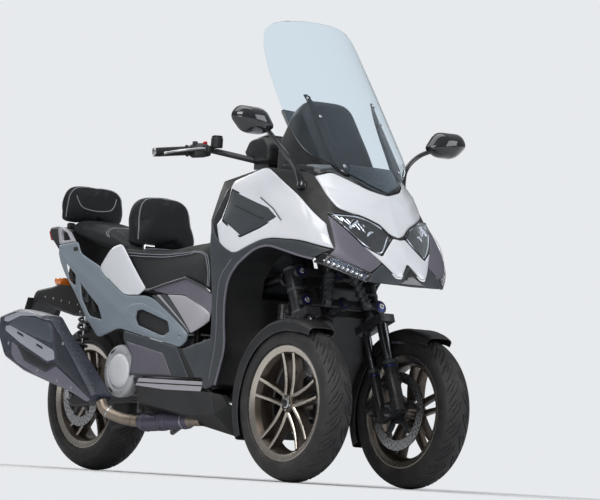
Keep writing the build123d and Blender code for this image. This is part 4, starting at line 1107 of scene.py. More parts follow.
def fairingTables():
    # the plan lines as curves through their points, and again from level to level, mixed with
    # straight runs for the folds, then read both ways: width by (z, y) and y by (z, x)
    s = fairing
    lines = np.array(s["lines"], float)
    last = lines.shape[1] - 1
    z, turn = np.clip(zAxis, s["levels"][0], s["levels"][-1]), np.linspace(0, last, s["steps"])
    rows = smoothThrough(s["levels"], lines, z)
    curve = smoothThrough(np.arange(last + 1.0), rows.transpose(1, 0, 2), turn).transpose(1, 0, 2)
    k = np.clip(turn.astype(int), 0, last - 1)
    straight = rows[:, k] + (rows[:, k + 1] - rows[:, k]) * (turn - k)[None, :, None]
    curve = curve * s["smooth"] + straight * (1 - s["smooth"])
    grow = np.maximum.accumulate(curve, axis=1) + np.arange(s["steps"])[None, :, None] * 1e-6
    width = np.stack([np.interp(yAxis, g[:, 1], c[:, 0]) for g, c in zip(grow, curve)])
    along = np.stack([np.interp(xAxis, g[:, 0], c[:, 1]) for g, c in zip(grow, curve)])
    return width, along


fairingWidth, fairingAlong = fairingTables()


def onSide(flat):
    # a (y, z) point moved out to the fairing's width there
    y, z = flat[..., 0], flat[..., 1]
    return np.stack([lookUp(fairingWidth, zAxis, yAxis, z, y), y, z], -1)


def onFront(flat):
    # an (x, z) point moved back to the fairing's face there, the same for both sides
    x, z = flat[..., 0], flat[..., 1]
    return np.stack([x, lookUp(fairingAlong, zAxis, xAxis, z, np.abs(x)), z], -1)


bodySide = {
    "stations": [380, 560, 700, 900, 1120, 1300, 1500, 1760],
    "lines": [[(330, 300), (331, 560), (318, 900)], [(306, 320), (288, 520), (236, 720)],
              [(297, 330), (272, 500), (226, 710)], [(286, 240), (262, 510), (222, 710)],
              [(274, 240), (246, 530), (210, 800)], [(242, 400), (226, 560), (190, 860)],
              [(205, 560), (192, 700), (170, 890)], [(152, 740), (146, 850), (138, 950)]],
    "foldWidth": 26.0,
}
hexWindow = [(1035, 602), (1000, 607), (815, 562), (785, 526), (820, 507), (1010, 550), (1035, 575)]


def onBody(flat):
    # a (y, z) point moved out to the body side: lower edge, belt and upper edge run as curves from
    # station to station, with straight faces between them and a soft fold at the belt
    y, z = flat[..., 0], flat[..., 1]
    s = bodySide
    held = np.clip(y, s["stations"][0], s["stations"][-1])
    line = smoothThrough(s["stations"], np.array(s["lines"], float), held)
    w, h = line[..., 0], line[..., 1]
    under = w[..., 0] + (w[..., 1] - w[..., 0]) * (z - h[..., 0]) / (h[..., 1] - h[..., 0])
    over = w[..., 1] + (w[..., 2] - w[..., 1]) * (z - h[..., 1]) / (h[..., 2] - h[..., 1])
    t = np.clip((z - h[..., 1]) / s["foldWidth"] * 0.5 + 0.5, 0, 1)
    t = t * t * (3 - 2 * t)
    return np.stack([under * (1 - t) + over * t, y, z], -1)


def mirrorOutline(half):
    # both halves of a front outline that starts and ends on the centre line
    return list(half) + [(-q[0], *q[1:]) for q in half[::-1] if q[0] > 0]


def beadOn(place, line, radius, lift=0.0, mat=0, corner=30.0):
    # a fine round bead carried along a line on a skin
    flat = roundedLine(np.array(line, float), corner)
    point = place(flat)
    return tube(point + np.array([lift, 0, 0]), radius, 8, mat)


# outlines of (x, z) points on the nose and of (y, z) points on the sides, some with a corner radius
fairingPanels = {
    "nose": [(0, 874, 4), (25, 881), (65, 914), (135, 944), (190, 968, 14), (206, 1010, 20),
             (205, 1083, 8), (160, 1100, 14), (85, 1046, 30), (0, 1024)],
    "noseRidge": [(0, 1026), (85, 985), (198, 1040)],
    "lip": [(0, 866, 3), (26, 870, 5), (95, 800, 10), (150, 834, 5), (103, 779, 12), (66, 731, 8),
            (43, 730, 8), (0, 783, 10)],
    "chin": [(0, 702), (174, 707), (157, 736), (104, 776, 10), (66, 727), (42, 727), (0, 778)],
    "mouth": [(-60, 706), (60, 706), (34, 728), (0, 770), (-34, 728)],
    "wedge": [(226, 941), (197, 898, 20), (152, 836, 20), (104, 778), (159, 739), (262, 794), (246, 816)],
    "insert": [(424, 1032, 4), (196, 966, 6), (136, 929, 6), (209, 893, 8), (302, 862, 6), (432, 923, 5)],
    "insertGroove": [(206, 926), (226, 931), (382, 978)],
    "surround": [(431, 1038, 4), (194, 972, 6), (128, 929, 6), (207, 888, 8), (303, 855, 6), (439, 920, 5)],
    "cheek": [(440, 1069, 8), (290, 1121, 26), (68, 1006, 30), (-84, 907, 6), (-147, 817, 4), (-14, 847, 50),
              (175, 858, 60), (326, 798, 20), (414, 832, 16), (466, 908, 8), (448, 930, 6), (440, 1010, 6)],
    "cheekShoulder": [(-150, 850), (70, 950), (300, 1060), (500, 1040)],
    "cheekSeam": [(108, 918), (165, 960), (253, 1003)],
    "sideCap": [(497, 925, 6), (470, 1045, 20), (444, 1066, 6), (444, 1010, 6), (452, 930, 6), (468, 906, 6)],
    "arch": [(-144, 814, 4), (-85, 781, 20), (-25, 793, 30), (140, 832, 90), (205, 822, 60), (300, 765, 60),
             (350, 710, 50), (362, 640, 70), (360, 555, 70), (347, 465, 60), (395, 330, 30), (455, 313, 14),
             (472, 330, 14), (428, 480, 90), (432, 640, 90), (450, 760, 60), (497, 922, 6), (450, 865, 30),
             (335, 795, 50), (180, 856, 90), (-10, 844, 60)],
    "archRim": [(-85, 779), (-25, 790), (140, 829), (205, 819), (300, 762), (347, 708), (359, 640),
                (357, 555), (344, 465), (392, 330)],
    "archFold": [(330, 778), (392, 716), (398, 640), (394, 540), (396, 470), (425, 350)],
}


def fairingPieces():
    # white, grey and dark panels of the nose, the wedges beside the lamps, cheeks and arch bands
    p = fairingPanels
    nose, lip, chin = (mirrorOutline(p[name]) for name in ("nose", "lip", "chin"))

    def noseFold(flat):
        # a raised fold: height falls off with distance from the line that runs out to the shoulder
        run = np.interp(np.abs(flat[:, 0]), *np.array(p["noseRidge"], float).T)
        return 5.0 * np.exp(-np.abs(flat[:, 1] - run) / 26.0) - 3.0

    cowl = cutPanel(onFront, nose, roll=4, thick=4.6, crease=noseFold, step=9)
    piece("noseCowl", cowl, "chassis", "white", ["nose_cowl"])
    piece("noseLip", cutPanel(onFront, lip, roll=3.5, thick=4.6, lift=2, crown=3, step=8), "chassis", "white",
          ["nose_lip"])
    chinParts = [cutPanel(onFront, chin, roll=3, thick=4.6, lift=-1, step=10),
                 cutPanel(onFront, p["mouth"], roll=2, thick=8, lift=3, mat=1)]
    piece("chin", joined(chinParts), "chassis", ["graphiteDark", "gloss"], ["chin"])

    def cheekFold(flat):
        # a soft shoulder line runs back from the nose, and the panel falls away under it
        line = np.interp(flat[:, 0], *np.array(p["cheekShoulder"], float).T)
        return 7.0 * np.exp(-((flat[:, 1] - line) / 34.0) ** 2) - 2.0

    inlays = [cutPanel(onFront, p["wedge"], roll=3, thick=4.6, crown=2),
              cutPanel(onSide, p["insert"], roll=2, thick=4.6, lift=2.8, crown=3, mat=1, crease=cheekFold),
              cutPanel(onBody, hexWindow, roll=1, thick=3, lift=-9, mat=2)]
    groove = beadOn(onSide, p["insertGroove"], 2.0, 5.5, 2, corner=8)
    inlays = [bothSides(joined(inlays + [groove])), skirtPieces()]
    piece("inlayPanels", joined(inlays), "chassis",
          ["graphite", "slate", "black", "paleGrey"], ["inlay_panels"])
    panel = cutPanel(onSide, p["cheek"], roll=4, thick=4.6, crown=3, crease=cheekFold, step=11)
    surround = cutPanel(onSide, p["surround"], roll=0.5, thick=3, lift=2.6, mat=1, crease=cheekFold)
    sideCap = cutPanel(onSide, p["sideCap"], roll=2, thick=4, lift=-3, mat=1)
    seam = beadOn(onSide, p["cheekSeam"], 2.2, 5.0, 1, corner=20)
    piece("cheeks", bothSides(joined([panel, surround, sideCap, seam])), "chassis", ["white", "gloss"],
          ["cheeks"])
    band = cutPanel(onSide, p["arch"], roll=3.5, thick=4.6, crown=2, step=11)
    # a real bead along the arch's inner edge, in graphite lighter than the slate band: its lighter colour
    # paints the highlight along that edge
    rim = beadOn(onSide, p["archRim"], 4.2, -1.5, 1, corner=60)
    foldLine = beadOn(onSide, p["archFold"], 2.2, 1.0, 1, corner=60)
    piece("archBands", bothSides(joined([band, rim, foldLine])), "chassis", ["slate", "graphite"],
          ["arch_bands"])


lampSettings = {
    "outline": [(27, 872), (65, 912), (135, 942), (222, 943), (196, 900), (150, 838), (97, 802)],
    "depth": 30.0, "barCount": 7, "projectors": (((150, 905), 21), ((104, 868), 17)),
    "guide": [(60, 900), (104, 925), (140, 936), (210, 938)],
    "lowerEdge": [(44, 872), (97, 812), (146, 846), (188, 900)],
    "brow": [(30, 876), (66, 916), (134, 946), (224, 949), (224, 943), (135, 940), (68, 909), (34, 870)],
    "signal": [(270, 763, 6), (257, 789, 8), (160, 737, 5), (176, 711, 6)],
    "signalFrame": [(292, 767, 6), (272, 803, 8), (152, 737, 5), (172, 704, 6)], "facetCount": 9,
}


def onDeepFront(depth):
    # the fairing's face moved back by a depth
    return lambda flat: onFront(flat) + (0, depth, 0)


def lampPieces():
    # headlamps and signals: a dark bowl behind each lens, bright bars, round projectors and a clear lens
    s = lampSettings
    outline = s["outline"]
    centre = np.mean([q[:2] for q in outline], 0)
    loop = closedRound(outline, 6, 6)
    bowl = np.stack([onFront(centre + (loop - centre) * k) + (0, d, 0)
                     for k, d in ((0.985, 1.5), (0.95, 12), (0.86, s["depth"]), (0.4, s["depth"] + 10),
                                  (0.02, s["depth"] + 12))])
    parts = [shapeOf(bowl, gridQuads(bowl.shape[0], bowl.shape[1], False, True))]
    for at, size in s["projectors"]:
        mid = onFront(np.array(at, float)) + (0, s["depth"] - 2, 0)
        parts.append(spun([(-16, size), (-14, size + 2.5), (0, size * 0.86), (6, size * 0.4), (8, 0.5)], mid,
                          36, 1, "y", False))
        parts.append(spun([(-8, 0.5), (-6, size * 0.35), (-1, size * 0.62), (3, size * 0.72)], mid, 36, 2,
                          "y", False))
    for k in range(s["barCount"]):
        t = k / (s["barCount"] - 1)
        x = 200 - 92 * t
        z0, z1 = 918 - 56 * t, 936 - 32 * t
        bar = np.array([(x - 14, z0), (x + 2, z1)])
        path = onFront(bar) + (0, 10, 0)
        parts.append(tube(path, 2.4, 8, 1))
    line = onFront(np.array(s["guide"], float)) + (0, 6, 0)
    parts.append(tube(smoothLine(line, 30), 3.0, 10, 3))
    lower = onFront(np.array(s["lowerEdge"], float)) + (0, 8, 0)
    parts.append(tube(smoothLine(lower, 30), 2.6, 10, 1))
    inside = bothSides(joined(parts))
    piece("lampInsides", inside, "chassis", ["lampDark", "reflector", "lens", "glowStrip"],
          [])
    lens = cutPanel(onFront, [(*q, 8) for q in outline], roll=2, thick=3, lift=0.5, crown=3, gap=1.0, step=9)
    piece("headlampLenses", bothSides(lens), "chassis", "lens", ["headlamps"])
    eyebrow = cutPanel(onFront, s["brow"], roll=1, thick=8, lift=1.5, gap=0.1, step=10)
    piece("lampBrows", bothSides(eyebrow), "chassis", "gloss")
    signal = cutPanel(onFront, s["signal"], roll=3, thick=5, lift=3, crown=4, step=6)
    back = cutPanel(onFront, s["signal"], roll=0.5, thick=3, lift=-12, step=10, mat=0)
    surround = cutPanel(onFront, s["signalFrame"], [s["signal"]], roll=1.5, thick=10, lift=1, gap=0.3,
                        step=8, mat=1)
    facets = []
    for k in range(s["facetCount"]):
        at = onFront(np.array([180 + k * 11.0, 728 + k * 5.8])) + (0, 8, 0)
        facets.append(spun([(-7, 0.5), (-5, 4), (0, 6.5), (5, 7)], at, 8, 2, "y", False))
    piece("signalLenses", bothSides(signal), "chassis", "ribbedLens", ["front_signals"])
    piece("signalBacks", bothSides(joined([back, surround] + facets)), "chassis",
          ["lampDark", "gloss", "reflector"])


screenSettings = {"base": (-107, 1033), "top": (363, 1667), "chord": 250, "sag": 118, "thickness": 4.6,
                  "outline": [(6, 1034), (60, 1056), (150, 1110), (222, 1166), (234, 1210), (238, 1300),
                              (236, 1400), (231, 1480), (221, 1560), (203, 1615), (172, 1645), (130, 1659),
                              (70, 1665), (6, 1667)],
                  "brace": [(118, 1092), (126, 1150), (132, 1250), (137, 1330), (150, 1382)],
                  "braceWidth": ([0, 0.12, 0.6, 1], [10, 24, 17, 5]),
                  "braceDepth": ([0, 0.5, 1], [26, 20, 8]),
                  "braceTip": (148.0, 1368.0), "screwHeights": (1120, 1300)}


def screenPlace(x, z, back=0.0):
    # the sheet's own face: it leans back with height, and its sides fall behind by a circle's sag
    s = screenSettings
    arc = (s["chord"] ** 2 + s["sag"] ** 2) / (2 * s["sag"])
    lean = (s["top"][0] - s["base"][0]) / (s["top"][1] - s["base"][1])
    y = s["base"][0] + (z - s["base"][1]) * lean + arc - np.sqrt(arc ** 2 - x ** 2) + back
    return np.stack([x, y, z], -1)


def screenPieces():
    # clear screen as rows across between its two edge lines, and dark braces with screws behind it
    s = screenSettings
    edge = smoothLine(roundedLine(s["outline"], 14), 90)
    across = np.sin(np.linspace(-np.pi / 2, np.pi / 2, 41))
    x = edge[:, 0][:, None] * across[None]
    sheet = screenPlace(x, np.broadcast_to(edge[:, 1][:, None], x.shape))
    piece("windscreen", plate(sheet, s["thickness"]), "chassis", "screen", ["windscreen"],
          bevel=1.2)
    parts = []
    braceLine = np.array(s["brace"], float)
    for side in (1, -1):
        t = np.linspace(0, 1, 30)
        line = smoothLine(braceLine, 30)
        width = np.interp(t, *s["braceWidth"])
        a = screenPlace(side * (line[:, 0] - width), line[:, 1], 6.5)
        b = screenPlace(side * (line[:, 0] + width), line[:, 1], 6.5)
        deep = np.interp(t, *s["braceDepth"])[:, None] * (0, 1, -0.3)
        rows = np.stack([a, (a + b) / 2 - (0, 1, 0), b, b + deep * 0.7, (a + b) / 2 + deep, a + deep * 0.7],
                        1)
        parts.append(loops(rows))
        tip = screenPlace(np.array([side * s["braceTip"][0]]), np.array([s["braceTip"][1]]), 4.0)[0]
        parts.append(boltHead(tip, (0, -0.8, 0.6), 7, 6, 1, False))
        for z in s["screwHeights"]:
            at = screenPlace(np.array([side * np.interp(z, braceLine[:, 1], braceLine[:, 0])]),
                             np.array([float(z)]), -1.0)[0]
            parts.append(boltHead(at, (0, -0.8, 0.6), 7.5, 4, 1))
    piece("screenBraces", joined(parts), "chassis", ["black", "chrome"])


dashSettings = {"half": 118, "centre": (270.0, 1190.0), "knobs": ((-70, 1200), (70, 1200), (0, 1178)),
                "outline": [(52, 1098), (110, 1190), (240, 1366), (285, 1376), (330, 1352), (405, 1240),
                            (424, 1160), (420, 1085)]}


def dashPieces():
    # binnacle: the side outline carried across and drawn in towards its ends, with a framed meter face
    # and knobs; and the black cover ahead of it
    s = dashSettings
    outline = closedRound(s["outline"], 26, 14)
    centre = np.array(s["centre"])
    across = np.sin(np.linspace(-1, 1, 25) * np.pi / 2)
    shrink = 1 - 0.30 * np.abs(across) ** 5
    parts = [loops([atX(a * s["half"], centre + (outline - centre) * k) for a, k in zip(across, shrink)])]
    faceTurn = turnX(math.radians(-38))
    meter = moved(chamferBox((-92, -4, -52), (92, 6, 52), 5, 1), (0, 372, 1292), faceTurn)
    frameShape = moved(chamferBox((-100, -10, -60), (100, 2, 60), 6, 2), (0, 370, 1291), faceTurn)
    parts += [frameShape, meter]
    for x, z in s["knobs"]:
        parts.append(spun([(-4, 13), (7, 13), (9, 11), (9, 0.4)], (x, 424 - 0.1 * (z - 1160), z), 28, 2, "y",
                          False))
    piece("dashBinnacle", joined(parts), "chassis", ["black", "meterFace", "gloss"],
          ["dash"])
    # black cover between the cowl and the screen's foot
    cover = mirrorOutline([(0, 1028), (83, 1050), (158, 1104), (204, 1088), (222, 1128), (0, 1130)])
    base = cutPanel(onDeepFront(6), cover, roll=2, thick=5, lift=-4, step=12)
    piece("screenFoot", base, "chassis", "gloss")


mirrorSettings = {"outline": [(347, 1236, 16), (392, 1302, 30), (505, 1304, 34), (537, 1262, 26),
                              (482, 1208, 30), (395, 1208, 40)], "front": 62.0, "back": 118.0,
                  "lip": ((0.97, 120.0), (0.93, 119.0), (0.92, 112.0)), "glassShare": 0.90,
                  "glassPlaces": (112.0, 116.5),
                  "stalk": [(228, 84, 1045), (243, 100, 1098), (268, 122, 1146), (330, 128, 1205),
                            (392, 104, 1238)],
                  "stalkRadius": ([0, 0.15, 0.2, 0.85, 1], [15, 11, 9.5, 8.5, 10])}


def mirrorPieces():
    # mirror heads: the outline grows from a small front to a full rear edge by an ellipse's law, then
    # come the lip, the sunk glass, the stalk and its collar
    s = mirrorSettings
    loop = closedRound(s["outline"], 20, 12)
    centre = loop.mean(0)
    t = np.linspace(0.06, 1, 14)
    size = np.sqrt(1 - (1 - t) ** 2)

    def ring(k, y):
        # the outline scaled about its middle and placed at y
        x, z = (centre + (loop - centre) * k).T
        return np.stack([x, np.full(len(loop), y), z], 1)

    rows = [ring(k, s["front"] + (s["back"] - s["front"]) * q) for k, q in zip(size, t)]
    rows += [ring(k, y) for k, y in s["lip"]]
    head = loops(rows)
    face = [ring(s["glassShare"], y) for y in s["glassPlaces"]]
    thick = np.interp(np.linspace(0, 1, 40), *s["stalkRadius"])
    stalk = tube(smoothLine(s["stalk"], 40), thick, 16)
    collar = spun([(-14, 17), (-12, 20), (4, 19), (14, 13)], (228, 82, 1048), 28, 0, "z")
    piece("mirrorHeads", bothSides(joined([head, stalk, collar])), "chassis", "gloss",
          ["mirrors"], sharp=45)
    piece("mirrorFaces", bothSides(loops(face)), "chassis", "mirror", ["mirror_glass"],
          sharp=60)


barSettings = {"gripEnd": (400, 750, 1170), "gripRun": (190, 60, -26), "gripLength": 125, "gripRadius": 16.5,
               "podSection": [(208, 662, 1172), (208, 662, 1206), (208, 690, 1222), (208, 722, 1216),
                              (208, 730, 1186), (208, 700, 1168)],
               "podDraw": [(0, 6, 4), (0, 6, -6), (0, 0, -8), (0, -8, -5), (0, -8, 5), (0, 0, 6)],
               "podStations": ((0, 1.2), (8, 0), (50, 0), (60, 1.2)),
               "lever": [(222, 668, 1196), (250, 652, 1194), (300, 662, 1187), (360, 694, 1174),
                         (392, 706, 1165)],
               "coverLimit": 745}


def handlebarPieces():
    # grips with end weights, switch pods, levers and a pot, all held short of the cover over the clamp; each
    # grip is a profile along its axis
    s = barSettings
    run = np.array(s["gripRun"], float)
    run /= np.linalg.norm(run)
    end = np.array(s["gripEnd"], float)
    t = np.linspace(0, 1, 90)
    rib = s["gripRadius"] + 0.9 * np.sin(t * 2 * np.pi * 15) * (t > 0.08) * (t < 0.92)
    rib = np.where(t < 0.05, s["gripRadius"] + 5, np.where(t > 0.97, s["gripRadius"] - 2, rib))
    grip = tube(end - run * s["gripLength"] + run * s["gripLength"] * t[:, None], rib, 24)
    weight = tube(end + run * np.array([-1, 2, 3, 16, 18])[:, None] * 0.4, [10, 15, 16.5, 16.5, 14], 24, 1)
    piece("grips", bothSides(joined([grip, weight])), "handlebar", ["softBlack", "steel"],
          ["grips"], sharp=30)
    section, draw = np.array(s["podSection"], float), np.array(s["podDraw"])
    pod = loops([section + (dx, dx * 0.3, -dx * 0.12) + draw * e for dx, e in s["podStations"]])
    leverRadius = np.interp(np.linspace(0, 1, 30), [0, 0.2, 0.9, 0.95, 1], [8, 6, 5, 6.5, 5])
    levers = tube(smoothLine(s["lever"], 30), leverRadius, 14, 1)
    perch = chamferBox((212, 640, 1182), (240, 672, 1208), 4, 0)
    button = [chamferBox((226, 668, 1214), (240, 680, 1224), 2, 2),
              chamferBox((246, 700, 1212), (262, 716, 1224), 2, 3),
              chamferBox((216, 722, 1186), (246, 734, 1198), 2, 3)]
    pot = spun([(-24, 20), (-22, 22), (10, 22), (14, 19)], (205, 640, 1226), 30, 0, "z")
    potCap = spun([(13, 20), (19, 20), (21, 17)], (205, 640, 1226), 30, 4, "z")
    controls = joined([pod, levers, perch, pot, potCap] + button)
    controls["v"][:, 1] = np.minimum(controls["v"][:, 1], s["coverLimit"])
    piece("barControls", bothSides(controls), "handlebar",
          ["black", "steel", "red", "slate", "gloss"],
          ["bar_controls"], bevel=0.8)


fenderSettings = {"arc": (117, -27), "radius": 290.5, "wall": 2.6}


def fenderPieces():
    # front fenders: a cross section with shoulders and side walls carried round the axle; it narrows
    # towards both ends, and a stay holds it to the fork
    s = fenderSettings
    turn = np.radians(np.linspace(s["arc"][0], s["arc"][1], 80))
    share = np.linspace(0, 1, 80)
    v = np.linspace(-1, 1, 33)
    depth = np.interp(share, [0, 0.1, 0.35, 0.7, 1], [22, 34, 42, 44, 30])[:, None]
    half = np.interp(share, [0, 0.08, 0.5, 1], [52, 63, 65, 62])[:, None]
    x = half * np.sign(v) * np.minimum(1, np.abs(v) * 1.35) ** 0.9
    drop = depth * np.clip((np.abs(v) - 0.62) / 0.38, 0, 1) ** 1.3
    crown = 5.5 * (1 - (x / half) ** 2)
    r = s["radius"] + crown - drop
    points = np.stack([x, r * np.cos(turn)[:, None], r * np.sin(turn)[:, None]], -1)
    rib = 2.2 * np.exp(-((np.abs(v) - 0.45) / 0.05) ** 2)[None, :, None] * np.stack(
        [np.zeros(80), np.cos(turn), np.sin(turn)], -1)[:, None]
    band = plate(points + rib, s["wall"])
    for sideName, side in sides:
        near, far = sorted((-side * 56, -side * 88))
        stay = chamferBox((near, -6, 241), (far, 96, 250), 3, 1)
        shape = joined([band, tube(points[:, 0], 2.0, 8, 1), tube(points[:, -1], 2.0, 8, 1), stay])
        piece("fender_" + sideName + "_shell", moved(shape, frontHubAt(side)), "knuckle_" + sideName,
              ["black", "slate"], ["fender_" + sideName], sharp=35)


sidePanelSettings = {
    "outline": [(1725, 867, 6), (1575, 877, 12), (1535, 831, 26), (1362, 775, 16), (1350, 755, 16),
                (1145, 662, 30), (965, 661, 60), (657, 518, 8), (659, 490, 8), (700, 466, 20),
                (1130, 535, 40), (1160, 535, 20), (1295, 501, 26), (1405, 571, 50), (1540, 680, 40),
                (1635, 745, 30), (1695, 800, 30)],
    "holes": [[(1650, 800, 8), (1545, 745, 8), (1535, 702, 8), (1597, 728, 8)],
              [(1500, 714, 8), (1335, 624, 10), (1285, 571, 12), (1388, 586, 12), (1474, 656, 10)],
              hexWindow],
    "underSeat": [(1362, 777, 10), (1300, 849, 40), (1226, 861, 20), (1007, 687, 10), (1046, 663, 10),
                  (1145, 663, 30), (1348, 756, 12)],
    "lowerRear": [(1103, 529, 8), (722, 470, 8), (598, 354, 10), (1023, 361, 8), (1019, 430, 8),
                  (1099, 494, 10)],
    "lowerFront": [(668, 463, 8), (595, 479, 40), (436, 503, 8), (431, 436, 20), (472, 353, 8), (552, 353, 6),
                   (676, 456, 6)],
    "darkCentre": [(1070, 488, 12), (800, 444, 14), (716, 360, 8), (1012, 368, 8), (1008, 430, 10)],
    "gap": [(738, 470, 4), (656, 458, 4), (540, 355, 4), (614, 355, 4)],
}


def sidePieces():
    # body sides: grey panel with cut-outs, white panels under the seat, graphite lower panels with a
    # raised centre, and the sill's pale strips
    s = sidePanelSettings

    def spine(flat):
        # a fold runs along the middle of the panel and fades to both edges
        line = np.interp(flat[:, 0], [650, 1150, 1400, 1720], [505, 600, 705, 838])
        return 5.0 * np.exp(-np.abs(flat[:, 1] - line) / 20.0)

    main = cutPanel(onBody, s["outline"], s["holes"], roll=4, thick=5, crease=spine, step=11)
    lock = onBody(np.array([704.0, 506.0]))
    lockShape = moved(spun([(-3, 11), (1, 11), (2, 9.5), (2, 0.4)], steps=28, mat=1, closed=False),
                      lock + (1.5, 0, 0))
    pocket = [[(1600, 855, 5), (1565, 858, 5), (1552, 842, 5), (1590, 838, 5)]]
    dimples = [cutPanel(onBody, p, roll=0.6, thick=3, lift=1.2, mat=2) for p in pocket]
    piece("sidePanels", bothSides(joined([main, lockShape] + dimples)), "chassis",
          ["grey", "steel", "black"], ["side_panels"])
    under = cutPanel(onBody, s["underSeat"], roll=4, thick=5, crown=4, lift=1)
    piece("seatSidePanels", bothSides(under), "chassis", "white", ["seat_sides"])
    lower = [cutPanel(onBody, s["lowerRear"], roll=3.5, thick=5, crown=2),
             cutPanel(onBody, s["darkCentre"], roll=2.5, thick=6, lift=3, crown=2, mat=1),
             cutPanel(onBody, s["lowerFront"], roll=3.5, thick=5, crown=3),
             cutPanel(onBody, s["gap"], roll=1, thick=3, lift=-3.5, mat=2)]
    piece("lowerPanels", bothSides(joined(lower)), "chassis", ["graphiteDark", "graphite", "black"],
          ["lower_panels"])
    # painted shade: a black sheet 34 mm behind the slots at the tail of the side panels, so that the slots
    # look dark inside instead of showing the backdrop
    behind = cutPanel(onBody, [(1716, 846, 8), (1690, 862, 6), (1600, 846, 8), (1490, 748, 12),
                               (1262, 592, 10), (1268, 552, 10), (1410, 566, 10), (1530, 676, 12),
                               (1630, 735, 8)], roll=1, thick=3, lift=-34)
    braces = [cutPanel(onBody, q, roll=1, thick=24, lift=-6, mat=1) for q in
              ([(1440, 700, 3), (1420, 690, 3), (1350, 600, 3), (1372, 600, 3)],
               [(1628, 790, 2), (1610, 783, 2), (1570, 722, 2), (1585, 724, 2)])]
    piece("slotBacks", bothSides(joined([behind] + braces)), "chassis", ["black", "softBlack"])
    frameLine = cutPanel(onBody, [(1118, 604, 20), (1080, 628, 12), (1010, 634, 14), (860, 594, 16),
                                  (748, 541, 12), (745, 506, 10), (840, 492, 10), (1040, 530, 16),
                                  (1104, 566, 16)],
                         [hexWindow],
                         roll=3.5, thick=6, lift=3.0, step=12)
    piece("panelFrames", bothSides(frameLine), "chassis", "grey")
    strips = []
    for outline, mat in (([(880, 349), (468, 341), (478, 328), (890, 335)], 0),
                         ([(892, 331), (482, 324), (492, 306), (715, 309), (902, 322)], 0),
                         ([(884, 341), (476, 334), (492, 312), (894, 326)], 1)):
        strips.append(cutPanel(flatSide(321.8 if mat == 0 else 320.2), [(y, z, 4) for y, z in outline],
                               roll=2, thick=3.4, gap=0.2, mat=mat, step=20))
    piece("sillStrips", bothSides(joined(strips)), "chassis", ["paleGrey", "black"])


mufflerSettings = {
    "outline": [(1828, 560), (1826, 578), (1705, 606), (1515, 579), (1452, 520), (1300, 408), (1140, 279),
                (1178, 247), (1290, 281), (1635, 361), (1778, 417), (1830, 500)],
    "upper": [(1752, 542, 12), (1700, 566, 16), (1646, 572, 16), (1548, 566, 14), (1462, 540, 14),
              (1432, 470, 12), (1560, 494, 20)],
    "band": [(1770, 538, 10), (1740, 540, 10), (1560, 488, 20), (1424, 444, 10), (1414, 410, 8),
             (1466, 402, 10), (1664, 472, 8), (1772, 520, 8)],
    "recess": [(1678, 466, 8), (1466, 394, 8), (1418, 402, 6), (1408, 388, 6), (1470, 368, 8),
               (1620, 410, 8)],
    "lilac": [(1722, 478, 10), (1684, 462, 8), (1626, 404, 8), (1472, 360, 8), (1400, 384, 10),
              (1306, 338, 16), (1158, 262, 10), (1182, 254, 10), (1291, 290, 14), (1528, 348, 20),
              (1680, 396, 16), (1716, 424, 12)],
    "shield": [(1532, 570, 12), (1456, 560, 14), (1388, 506, 14), (1268, 394, 20), (1160, 288, 8),
               (1172, 276, 8), (1296, 344, 16), (1404, 400, 12), (1414, 446, 10), (1446, 540, 12)],
    "rim": [(1786, 556, 8), (1782, 572, 8), (1672, 596, 14), (1590, 590, 14), (1556, 575, 6), (1668, 576, 14),
            (1756, 552, 8)],
}


def mufflerPieces():
    # silencer: the side outline carried across with stepped-in faces, and heat shields in layers on it
    s = mufflerSettings
    outline = closedRound([(*q, 16) for q in s["outline"]], 16, 22)
    # the body and the outer shield take the navy finish, whose dark base partly paints the shade on their
    # faces
    parts = [earClipped(sideSweep(outline, ((-243, 10), (-252, 1), (-318, 0), (-334, 5), (-341, 13))))]

    def shield(shape, roll, lift, mat):
        # a heat shield laid on the silencer's outer face
        return cutPanel(flatSide(-341), shape, roll=roll, thick=3, lift=lift, mat=mat, gap=0.6, step=20,
                        inner=(0, 1500, 430))

    for name, roll, lift, mat in (("rim", 1.5, 0.6, 4), ("upper", 2.5, 2.2, 1), ("band", 1.5, 1.2, 4),
                                  ("recess", 1, 0.2, 2), ("lilac", 2.5, 1.8, 3), ("shield", 3, 2.6, 0)):
        parts.append(shield(s[name], roll, lift, mat))
    for y, z in ((1663, 504), (1524, 458)):
        slot = [(y + 24, z + 14, 3), (y - 22, z, 3), (y - 26, z - 12, 3), (y + 22, z + 3, 3)]
        parts.append(shield(slot, 0.5, 1.5, 2))
    for y, z in ((1284, 306), (1738, 470), (1524, 366), (1384, 330), (1360, 470)):
        parts.append(boltHead((-343, y, z), (-1, 0, 0), 6.0, 3.5, 5))
    tail = spun([(-30, 30), (-30, 34), (12, 36), (16, 33), (16, 26), (-20, 24)], (-292, 1812, 520), 40, 5,
                "y")
    parts.append(tail)
    piece("silencer", joined(parts), "chassis", ["navy", "slateMetal", "black", "lilac",
                                                 "shieldPale", "steel"], ["muffler"],
          bevel=1.2)


pipeSettings = {"line": [(-292, 1156, 260), (-288, 1140, 232), (-262, 1095, 206), (-213, 1004, 191),
                         (-205, 830, 197.5), (-198, 700, 203), (-195, 640, 205)],
                # radius at places along the vehicle, the collector's two ends, and (place, finish) of bands
                "radius": ([640, 700, 712, 720, 838, 852, 985, 998, 1016, 1160],
                           [20.5, 20.5, 27, 30, 31.5, 33.2, 33.2, 30, 21.5, 20.5]),
                "collector": (1012, 712),
                "bands": ((738, 2), (830, 1), (862, 1), (878, 1), (968, 1), (1040, 0), (1122, 2))}


